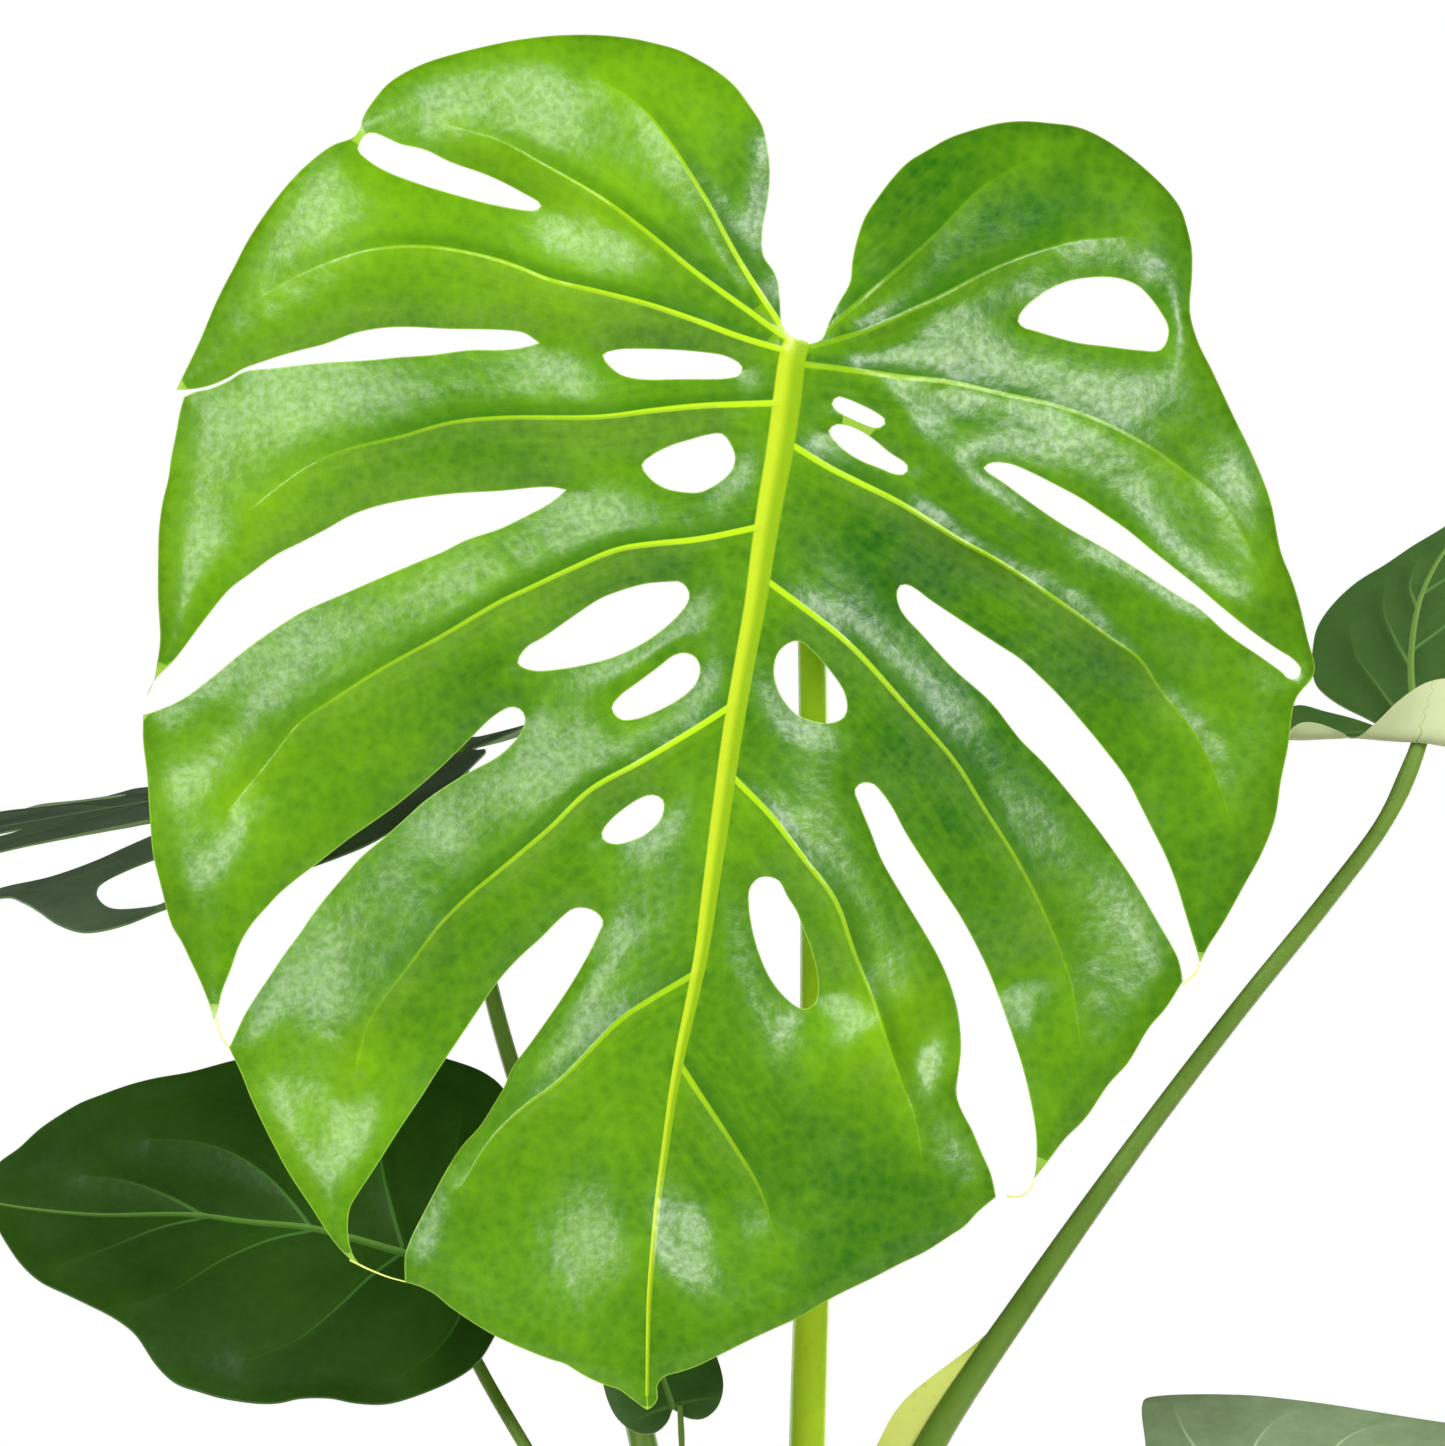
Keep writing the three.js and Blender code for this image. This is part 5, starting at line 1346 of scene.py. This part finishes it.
# %% Routes of the petioles
PETIOLES = {
    "front": {
        "radii": [9.5, 5.9, 5.4, 4.4, 3.7],
        "wing": {"end": 0.3, "rise": 0.12, "width": 4.8, "foot": (0.2, 1, 0), "top": (0.5, 1, 0)},
        "foot": [(14, 1, 252)],
        "seen": [
            (802, 1760, 1), (808, 1446, 0), (815, 1180, 0), (816, 900, 2), (813, 690, 5), (809, 500, 10),
            (806, 410, 20), (802, 368, 34), (799, 352, 45),
        ],
    },
    "left": {
        "radii": [9.5, 5.2, 4.4, 2.7, 2.2],
        "wing": {"end": 0.36, "rise": 0.12, "width": 4.2, "foot": (0.2, 1, 0), "top": (0.9, 0.6, 0.2)},
        "foot": [(-17, -4, 246)],
        "seen": [
            (687, 1760, -6), (644, 1446, -26), (596, 1290, -46), (513, 1070, -68), (480, 940, -73),
            (464, 830, -74), (461, 745, -72),
        ],
    },
    "low_left": {
        "radii": [6.5, 3.4, 2.1, 1.9, 1.9],
        "foot": [(-32, -13, 215)],
        "seen": [
            (664, 1780, 16), (600, 1570, 12), (525, 1446, 3), (481, 1370, -6), (460, 1325, -14),
            (453, 1270, -10),
        ],
    },
    "right": {
        "radii": [8.5, 5.2, 4.6, 2.9, 2.4],
        "wing": {"end": 0.53, "rise": 0.1, "width": 5.4, "foot": (1, 1, 0), "top": (-0.83, 0, 0.5)},
        "foot": [(31, -3, 222)],
        "seen": [
            (860, 1720, 2), (880, 1560, 2), (930, 1446, 1), (1026, 1300, -1), (1132, 1150, -4),
            (1240, 1008, -8), (1327, 900, -12), (1386, 820, -16), (1412, 765, -19), (1424, 730, -21),
        ],
    },
    "low_right": {
        "radii": [7, 3.8, 2.6, 2.2, 2],
        "foot": [(19, -14, 203), (24, -24, 250)],
        "seen": [(900, 1790, 28), (1020, 1650, 22), (1150, 1530, 8), (1202, 1492, 2), (1224, 1468, 0)],
    },
    "small": {
        "radii": [5, 2, 1.1, 0.9, 0.85],
        "foot": [(-17, -19, 203)],
        "seen": [(700, 1840, 24), (688, 1620, 23), (682, 1446, 21), (680, 1405, 21)],
    },
}
print("petioles:", len(PETIOLES))


# %% [markdown]
# Stalk flesh is the leaf's green without its wax: fine lengthwise fibres and a few darker flecks.
# The young stalk is painted paler and yellower on one flank, a painted light where a lamp from the
# side catches it. The wings are thin and dry out to straw.


# %% Materials for stalks, wings and canes
# In millimetres: round a stalk, its length, about the mean of the six, and the size of a fibre.
STALK_GIRTH = 28
STALK_LENGTH = 450
FIBRE = (1.4, 150)


def body_scale(size):
    """The scale of a pattern on Object coordinates whose parts are that many millimetres wide."""
    return 1000 / size


def stalk_flesh(name, deep, bright, fleck, rough, flank=0.0):
    material, tree, shader = new_material(name)
    uv = put(tree, "UVMap", uv_map="UVMap")
    place = put(tree, "TexCoord", out="Object")
    fine = (STALK_GIRTH / FIBRE[0], STALK_LENGTH / FIBRE[1], 1.0)
    fibres = put(tree, "Mapping", {"Vector": uv, "Scale": fine})
    fibre = put(tree, "TexNoise", {"Vector": fibres, "Scale": 1.0, "Detail": 1.0})
    cloud = put(tree, "TexNoise", {"Vector": place, "Scale": body_scale(22), "Detail": 3.0})
    speck = put(tree, "TexNoise", {"Vector": place, "Scale": body_scale(4), "Detail": 1.0})
    share = put(tree, "Math", {0: fibre, 1: 0.9, 2: -0.2}, operation="MULTIPLY_ADD")
    share = put(tree, "Math", {0: cloud, 1: 0.6, 2: share}, operation="MULTIPLY_ADD")
    # Painted light: one flank of the stalk is made paler and yellower by the share `flank` gives.
    turn = put(tree, "SeparateXYZ", {"Vector": uv}, out="X")
    turn = put(tree, "Math", {0: turn, 1: 2 * math.pi}, operation="MULTIPLY")
    turn = put(tree, "Math", {0: turn}, operation="SINE")
    share = put(tree, "Math", {0: turn, 1: flank, 2: share}, operation="MULTIPLY_ADD", use_clamp=True)
    flesh = put(tree, "Mix", {0: share, 6: linear(deep), 7: linear(bright)}, **RGBA)
    spots = put(tree, "MapRange", {"Value": speck, "From Min": 0.6, "From Max": 0.7, "To Max": 0.15})
    feed(shader, {
        "Base Color": put(tree, "Mix", {0: spots, 6: flesh, 7: linear(fleck)}, **RGBA),
        "Roughness": rough,
        "IOR": FLESH_IOR,
        "Specular IOR Level": 0.3,
        "Normal": put(tree, "Bump", {"Height": fibre, "Strength": 0.1, "Distance": 0.6 * MM}, out="Normal"),
    })
    return material


STALK_LOOKS = {
    "front": stalk_flesh("young monstera petiole", "#68a400", "#cce430", "#6c9a14", 0.4, 0.45),
    "old": stalk_flesh("old monstera petiole", "#4a6e20", "#7f9e3f", "#41611b", 0.42),
    "wing": stalk_flesh("petiole wing, drying", "#d6e04e", "#f6fb9c", "#8b7a3a", 0.5),
    "cane": stalk_flesh("monstera cane, corky", "#5a6a2e", "#8a8f52", "#4a3c22", 0.7),
}
print("stalk materials:", len(STALK_LOOKS))


# %% Build the petioles with their wings
# The joint under the blade: how much thicker it is, where along the stalk, and how long.
JOINT = (0.16, 0.965, 0.02)
RIBS_ROUND = 9
# The wings: where along the stalk they start, their rows of the grid and their thickness.
WING_START = 0.03
WING_ROWS = 60
WING_THICKNESS = 0.7


def stalk_radius(radii):
    def radius(t):
        place = np.clip(t, 0, 1) ** 0.75 * (len(radii) - 1)
        size = np.interp(place, np.arange(len(radii)), radii)
        joint = JOINT[0] * np.exp(-(((t - JOINT[1]) / JOINT[2]) ** 2))
        return size * (1 + joint)

    return radius


def ribbed(turn, v):
    """Low ribs down the stalk and a shallow channel on its upper side."""
    channel = 0.05 * np.exp(-(((turn - np.pi) / 0.4) ** 2)) * ease(v * 2)
    return 1 + 0.018 * np.cos(RIBS_ROUND * turn) - channel


def wing_mesh(line, radius, wing):
    """The sheath: a thin sheet whose inner edge is sunk in the stalk."""
    run = np.linspace(0, 1, len(line))
    lean_foot = np.array(wing["foot"], float)
    lean_top = np.array(wing["top"], float)

    def shape(u, v):
        t = WING_START + (wing["end"] - WING_START) * v
        lean = lean_foot + (lean_top - lean_foot) * ease(t / wing["end"])[:, None]
        lean /= np.linalg.norm(lean, axis=1)[:, None]
        half = wing["width"] * ease((wing["end"] - t) / wing["rise"])
        half *= 0.2 + 0.8 * ease((t - WING_START) / 0.07)
        base = np.stack([np.interp(t, run, line[:, k]) for k in range(3)], axis=-1)
        reach = radius(t) * 0.6 + u * (radius(t) * 0.15 + 2 * half)
        ruffle = 0.7 * np.sin(v * 26 + u * 1.5) * u
        side = np.cross(lean, np.array([0, 0, 1.0]))
        return base + lean * reach[:, None] + side * (ruffle + 1.6 * u * u)[:, None]

    built = grid_mesh(8, WING_ROWS, shape)
    bmesh.ops.solidify(built, geom=built.faces[:], thickness=-WING_THICKNESS * MM)
    bmesh.ops.recalc_face_normals(built, faces=built.faces)
    return built


for name, stalk in PETIOLES.items():
    radius = stalk_radius(stalk["radii"])
    route = [*stalk["foot"], *[seen_at(*place) for place in stalk["seen"]]]
    built, line = tube(route, radius, section=ribbed)
    made = finish_mesh(f"stalk_{name}", built)
    made.data.materials.append(STALK_LOOKS["front" if name == "front" else "old"])
    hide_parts(f"petiole_{name}")
    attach(made, "root")
    if "wing" in stalk:
        sheath = finish_mesh(f"sheath_{name}", wing_mesh(line, radius, stalk["wing"]))
        sheath.data.materials.append(STALK_LOOKS["wing"])
        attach(sheath, "root")
    print(made.name, "has", len(made.data.polygons), "faces")

# %% Hang the threads between the lobes
THREAD_RADIUS = 0.32
THREAD_TAPER = 0.12


def on_front_leaf(point):
    """The middle of the big leaf's thickness at a drawn point."""
    flat = on_sheet([point])
    upper, lower = LEAVES["front"]["faces"](flat, measure_blade(LEAVES["front"], flat))
    return along_sight(flat[:, 0], flat[:, 1], (upper + lower) / 2)[0]


for number, route in enumerate(MARGIN_THREADS):
    first, last = on_front_leaf(route[0]), on_front_leaf(route[-1])
    share = np.linspace(0, 1, len(route))[1:-1]
    forward = -(first[1] * (1 - share) + last[1] * share)
    hanging = [seen_at(*point, depth) for point, depth in zip(route[1:-1], forward)]
    route = [first, *hanging, last]
    built, _ = tube(route, lambda v: THREAD_RADIUS - THREAD_TAPER * v, columns=8, spacing=1.2)
    thread = finish_mesh(f"thread_{number}", built)
    thread.data.materials.append(STALK_LOOKS["wing"])
    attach(thread, "root")
print("threads:", len(MARGIN_THREADS))


# %% [markdown]
# The canes are the plant's stems. Each fallen leaf left a ring on them, a little raised, and the
# skin between the rings is corky. The tube is the same as for the stalks, with a size that swells
# at every ring and closes in a dome at the top.

# %% Build the two canes
CANES = {
    "right": [(22, 8, 140), (17, 4, 200), (14, 1, 262)],
    "left": [(-25, -8, 140), (-20, -6, 200), (-17, -4, 256)],
}
CANE_RADIUS = 12.0
RING_EVERY = 22.0
RING_HEIGHT = 1.5
RING_DEPTH = 0.5


def cane_radius(length):
    def radius(t):
        ring = (t * length % RING_EVERY) / RING_EVERY
        raised = RING_HEIGHT * np.exp(-(((ring - 0.5) / 0.09) ** 2))
        sunk = RING_DEPTH * np.exp(-(((ring - 0.68) / 0.06) ** 2))
        dome = np.sqrt(np.clip((1 - t) * length / 6, 0.02, 1))
        return (CANE_RADIUS + (raised - sunk)) * dome

    return radius


for name, route in CANES.items():
    length = sum(math.dist(a, b) for a, b in zip(route, route[1:]))
    built, _ = tube(route, cane_radius(length), columns=36, spacing=1.0)
    made = finish_mesh(f"cane_stem_{name}", built)
    made.data.materials.append(STALK_LOOKS["cane"])
    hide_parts(f"cane_{name}")
    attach(made, "root")
    print(made.name, "has", len(made.data.polygons), "faces")

# %% [markdown]
# ## The pot
# A plain clay pot is thrown or pressed: a round wall that widens upwards, a thick rim band, and a
# flat floor with drain holes. The spin operator turns its profile once round the axis, the bevel
# operator softens its ring edges, and a Boolean cuts the holes.

# %% Turn the pot
POT_PROFILE = [
    (0, 0), (84, 0), (108.18, 177), (113.18, 177), (117, 205), (105, 205), (78.77, 13), (75.36, 10), (0, 10),
]
POT_STEPS = 128
ROUNDING = 2.0
DRAIN_HOLES = 5
DRAIN_HOLE_RADIUS = 7.0
DRAIN_HOLES_AT = 48.0
DRILL_DEPTH = 30.0


def turned(profile, steps):
    """A profile of radius and height in millimetres, spun once round the upright axis."""
    built = bmesh.new()
    verts = [built.verts.new((r * MM, 0, z * MM)) for r, z in profile]
    edges = [built.edges.new(pair) for pair in zip(verts, verts[1:])]
    bmesh.ops.spin(
        built, geom=verts + edges, cent=(0, 0, 0), axis=(0, 0, 1), dvec=(0, 0, 0),
        angle=2 * math.pi, steps=steps, use_merge=True, use_duplicate=False,
    )
    bmesh.ops.remove_doubles(built, verts=built.verts, dist=MERGED)
    bmesh.ops.recalc_face_normals(built, faces=built.faces)
    return built


built = turned(POT_PROFILE, POT_STEPS)
corners = [e for e in built.edges if len(e.link_faces) == 2 and e.calc_face_angle() > math.radians(20)]
bmesh.ops.bevel(
    built, geom=corners, offset=ROUNDING * MM, offset_type="OFFSET", segments=4, profile=0.5,
    affect="EDGES", clamp_overlap=True, material=-1,
)
clay_pot = finish_mesh("clay_pot", built, 40)
drill = bmesh.new()
for k in range(DRAIN_HOLES):
    turn = 2 * math.pi * k / DRAIN_HOLES
    at = Vector((math.cos(turn), math.sin(turn), 0)) * DRAIN_HOLES_AT * MM
    bmesh.ops.create_cone(
        drill, cap_ends=True, segments=28, radius1=DRAIN_HOLE_RADIUS * MM,
        radius2=DRAIN_HOLE_RADIUS * MM, depth=DRILL_DEPTH * MM, matrix=Matrix.Translation(at),
    )
drill_bit = finish_mesh("drill_bit", drill)
cut = clay_pot.modifiers.new("drain holes", "BOOLEAN")
cut.operation = "DIFFERENCE"
cut.object = drill_bit
cut.solver = "EXACT"
drilled = bpy.data.meshes.new_from_object(clay_pot.evaluated_get(bpy.context.evaluated_depsgraph_get()))
clay_pot.modifiers.clear()
clay_pot.data = drilled
bpy.data.objects.remove(drill_bit)
print("clay_pot has", len(drilled.polygons), "faces")


# %% [markdown]
# Unglazed fired clay is matt and porous: an orange-brown body with fine grit, faint rings from the
# wheel, and pale lime that water leaves low down.


# %% Fired clay
def fired_clay():
    material, tree, shader = new_material("terracotta, unglazed and fired")
    place = put(tree, "TexCoord", out="Object")
    up = put(tree, "SeparateXYZ", {"Vector": place}, out="Z")
    cloud = put(tree, "TexNoise", {"Vector": place, "Scale": body_scale(45), "Detail": 5.0})
    grit = put(tree, "TexNoise", {"Vector": place, "Scale": body_scale(1.1), "Detail": 3.0})
    wheel = (body_scale(330), body_scale(330), body_scale(3.8))
    rings = put(tree, "Mapping", {"Vector": place, "Scale": wheel})
    ring = put(tree, "TexNoise", {"Vector": rings, "Scale": 1.0, "Detail": 2.0})
    grain = put(tree, "MapRange", {"Value": grit, "From Min": 0.56, "From Max": 0.72, "To Max": 0.5})
    low = put(tree, "MapRange", {"Value": up, "From Min": 0.07, "From Max": 0.0, "To Max": 0.8})
    lime = put(tree, "MapRange", {"Value": cloud, "From Min": 0.42, "From Max": 0.7})
    lime = put(tree, "Math", {0: low, 1: lime}, operation="MULTIPLY")
    clay = linear("#a2502d")
    for share, colour in ((cloud, "#c97850"), (grain, "#e0a27c"), (lime, "#dcc3b0")):
        clay = put(tree, "Mix", {0: share, 6: clay, 7: linear(colour)}, **RGBA)
    height = put(tree, "Math", {0: ring, 1: 0.8, 2: grit}, operation="MULTIPLY_ADD")
    feed(shader, {
        "Base Color": clay,
        "Roughness": 0.86,
        "Normal": put(tree, "Bump", {"Height": height, "Strength": 0.5, "Distance": 0.6 * MM}, out="Normal"),
    })
    return material


clay_pot.data.materials.clear()
clay_pot.data.materials.append(fired_clay())
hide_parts("pot")
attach(clay_pot, "root")

# %% [markdown]
# ## Potting soil
# The pot is filled to two centimetres below its rim with dark, crumbly compost, with bark chips and
# white perlite in it. The filling is spun like the pot, its top is roughened by moving its points,
# and the loose crumbs on top are a thousand small lumps from the sphere operator.

# %% Fill the pot
SOIL_TOP = 182.0
SOIL_RIM = 101.3
SOIL_MOUND = 8.0
SOIL_FOOT = [(0, 10.35), (74.5, 10.35), (77.6, 13.35)]
SOIL_RINGS = 44
SOIL_STEPS = 120


def soil_height(x, y):
    r = np.hypot(x, y)
    lumps = 1.6 * (np.sin(x * 0.21 + 1.3) * np.cos(y * 0.17) + 0.6 * np.sin(x * 0.08 - y * 0.31 + 0.5))
    fine = 0.7 * np.sin(x * 0.9 + 2 * np.sin(y * 0.5)) * np.cos(y * 0.8 + np.sin(x * 0.7))
    calm = 1 - ease((r - SOIL_RIM * 0.9) / (SOIL_RIM * 0.1))
    return SOIL_TOP + SOIL_MOUND * (1 - (r / SOIL_RIM) ** 2) + (lumps + fine) * calm


rings = [(SOIL_RIM * i / SOIL_RINGS, SOIL_TOP) for i in range(SOIL_RINGS, -1, -1)]
built = turned([*SOIL_FOOT, *rings], SOIL_STEPS)
for vert in built.verts:
    x, y, z = vert.co / MM
    if z > SOIL_TOP - 1:
        vert.co.z = float(soil_height(np.float64(x), np.float64(y))) * MM
compost = finish_mesh("compost", built)
print("compost has", len(compost.data.polygons), "faces")


# %% Scatter crumbs, bark and perlite on the soil
# Each kind: how many, their sizes, how flat they are, the seed and the range of their tones. They
# keep clear of the two canes and of the four petioles that rise from the soil beside them.
LOOSE_PIECES = {
    "compost_crumbs": (850, (0.9, 2.6), 0.75, 11, (0.0, 1.0)),
    "bark_chips": (90, (3.0, 5.5), 0.35, 12, (0.0, 1.0)),
    "perlite_grains": (60, (0.9, 1.9), 0.85, 13, (0.6, 1.0)),
}
CLEAR_OF_WALL = 7
CLEAR_OF_STEM = 14
STEMS = [(18, 5), (-21, -6)]
STEMS += [PETIOLES[name]["foot"][0][:2] for name in ("right", "low_left", "low_right", "small")]


def scatter(name, count, sizes, flat, seed, tones):
    """Small rough lumps that lie half sunk in the soil, kept clear of the stems and the wall."""
    draw = random.Random(seed)
    built = bmesh.new()
    tone = built.verts.layers.float.new("tone")
    placed = 0
    while placed < count:
        r = (SOIL_RIM - CLEAR_OF_WALL) * math.sqrt(draw.random())
        turn = 2 * math.pi * draw.random()
        x, y = r * math.cos(turn), r * math.sin(turn)
        size = draw.uniform(*sizes)
        if min(math.dist((x, y), stem) for stem in STEMS) < CLEAR_OF_STEM:
            continue
        placed += 1
        z = float(soil_height(np.float64(x), np.float64(y))) + size * 0.2
        turned_by = Matrix.Rotation(draw.uniform(0, 6.3), 4, "Z")
        turned_by @= Matrix.Rotation(draw.uniform(-0.6, 0.6), 4, "X")
        grow = Matrix.Diagonal((size * draw.uniform(0.8, 1.5), size, size * flat, 1))
        at = Matrix.Scale(MM, 4) @ Matrix.Translation((x, y, z)) @ turned_by @ grow
        shade = draw.uniform(*tones)
        for vert in bmesh.ops.create_icosphere(built, subdivisions=1, radius=1.0, matrix=at)["verts"]:
            vert.co += Vector([draw.uniform(-0.16, 0.16) * size * MM for _ in range(3)])
            vert[tone] = shade
    return finish_mesh(name, built, 30)


loose = {name: scatter(name, *kind) for name, kind in LOOSE_PIECES.items()}
print("loose pieces:", sum(kind[0] for kind in LOOSE_PIECES.values()))


# %% [markdown]
# Compost is nearly black when moist, with fibres that catch the light. Bark is red-brown and
# flaky, and perlite is a white, frothy mineral. Each lump carries a tone of its own.


# %% Materials of the soil
def crumbly(name, dark, pale, rough, use_tone):
    material, tree, shader = new_material(name)
    place = put(tree, "TexCoord", out="Object")
    grain = put(tree, "TexNoise", {"Vector": place, "Scale": body_scale(1.7), "Detail": 4.0})
    share = put(tree, "MapRange", {"Value": grain, "From Min": 0.35, "From Max": 0.7})
    if use_tone:
        tone = put(tree, "Attribute", out="Fac", attribute_name="tone")
        share = put(tree, "Math", {0: share, 1: tone}, operation="MULTIPLY")
    feed(shader, {
        "Base Color": put(tree, "Mix", {0: share, 6: linear(dark), 7: linear(pale)}, **RGBA),
        "Roughness": rough,
        "Normal": put(tree, "Bump", {"Height": grain, "Strength": 0.8, "Distance": MM}, out="Normal"),
    })
    return material


SOIL_LOOKS = [
    (compost, crumbly("compost, moist", "#1b120c", "#4a3525", 0.95, False)),
    (loose["compost_crumbs"], crumbly("compost crumbs", "#20150e", "#5b422d", 0.95, True)),
    (loose["bark_chips"], crumbly("pine bark chips", "#3a2113", "#7d4d2c", 0.85, True)),
    (loose["perlite_grains"], crumbly("perlite, expanded", "#cfccc2", "#f4f2ea", 0.9, True)),
]
for made, look in SOIL_LOOKS:
    made.data.materials.append(look)
    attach(made, "root")
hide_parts("soil")

# %% [markdown]
# ## Studio
# The floor is a pale disc, just large enough to stand on without showing behind the leaves. A broad
# light high on the left models the pleats, a smaller one high on the right gives the other flanks
# their shine, and two low ones behind lighten the undersides. White surroundings fill the rest: the
# viewer sees them at full strength, and the plant is lit by a small share of it.

# %% Floor
FLOOR_RADIUS = 2.4
FLOOR_BELOW = 0.0005
built = bmesh.new()
bmesh.ops.create_circle(built, cap_ends=True, segments=96, radius=FLOOR_RADIUS)
floor = finish_mesh("studio_floor", built)
material, tree, shader = new_material("matt paper floor")
feed(shader, {"Base Color": linear("#f2f1ee"), "Roughness": 0.9})
floor.data.materials.append(material)
floor.location.z = -FLOOR_BELOW


# %% Lights and surroundings
AIM = Vector((-0.01, -0.04, 0.62))
SURROUNDINGS = 0.075
# Each light: its angle to the viewer's right, its angle upwards, how far off it is, its size in
# metres, and its power in watts.
LIGHTS = {
    "key_light": (-46, 30, 2.4, (0.9, 1.4), 52),
    "high_right_light": (44, 33, 2.3, (0.8, 0.8), 44),
    "back_right_light": (140, -12, 2.0, (1.0, 1.0), 38),
    "back_left_light": (-140, -12, 2.0, (1.0, 1.0), 14),
}


def around(azimuth, elevation, away):
    """A place that far from the leaves, turned to the viewer's right and upwards by the angles."""
    turn, lift = math.radians(azimuth), math.radians(elevation)
    level = away * math.cos(lift)
    return AIM + Vector((level * math.sin(turn), -level * math.cos(turn), away * math.sin(lift)))


for name, (azimuth, elevation, away, size, watts) in LIGHTS.items():
    lamp = bpy.data.lights.new(name, "AREA")
    lamp.shape = "RECTANGLE"
    lamp.size, lamp.size_y = size
    lamp.energy = watts
    made = bpy.data.objects.new(name, lamp)
    made.location = around(azimuth, elevation, away)
    made.rotation_euler = (AIM - made.location).to_track_quat("-Z", "Y").to_euler()
    bpy.context.scene.collection.objects.link(made)
world = bpy.data.worlds.new("white studio")
world.use_nodes = True
seen = put(world.node_tree, "LightPath", out="Is Camera Ray")
strength = put(world.node_tree, "MapRange", {"Value": seen, "To Min": SURROUNDINGS, "To Max": 1.0})
feed(world.node_tree.nodes["Background"], {"Color": (1, 1, 1, 1), "Strength": strength})
bpy.context.scene.world = world
bpy.context.scene.view_settings.view_transform = "Standard"
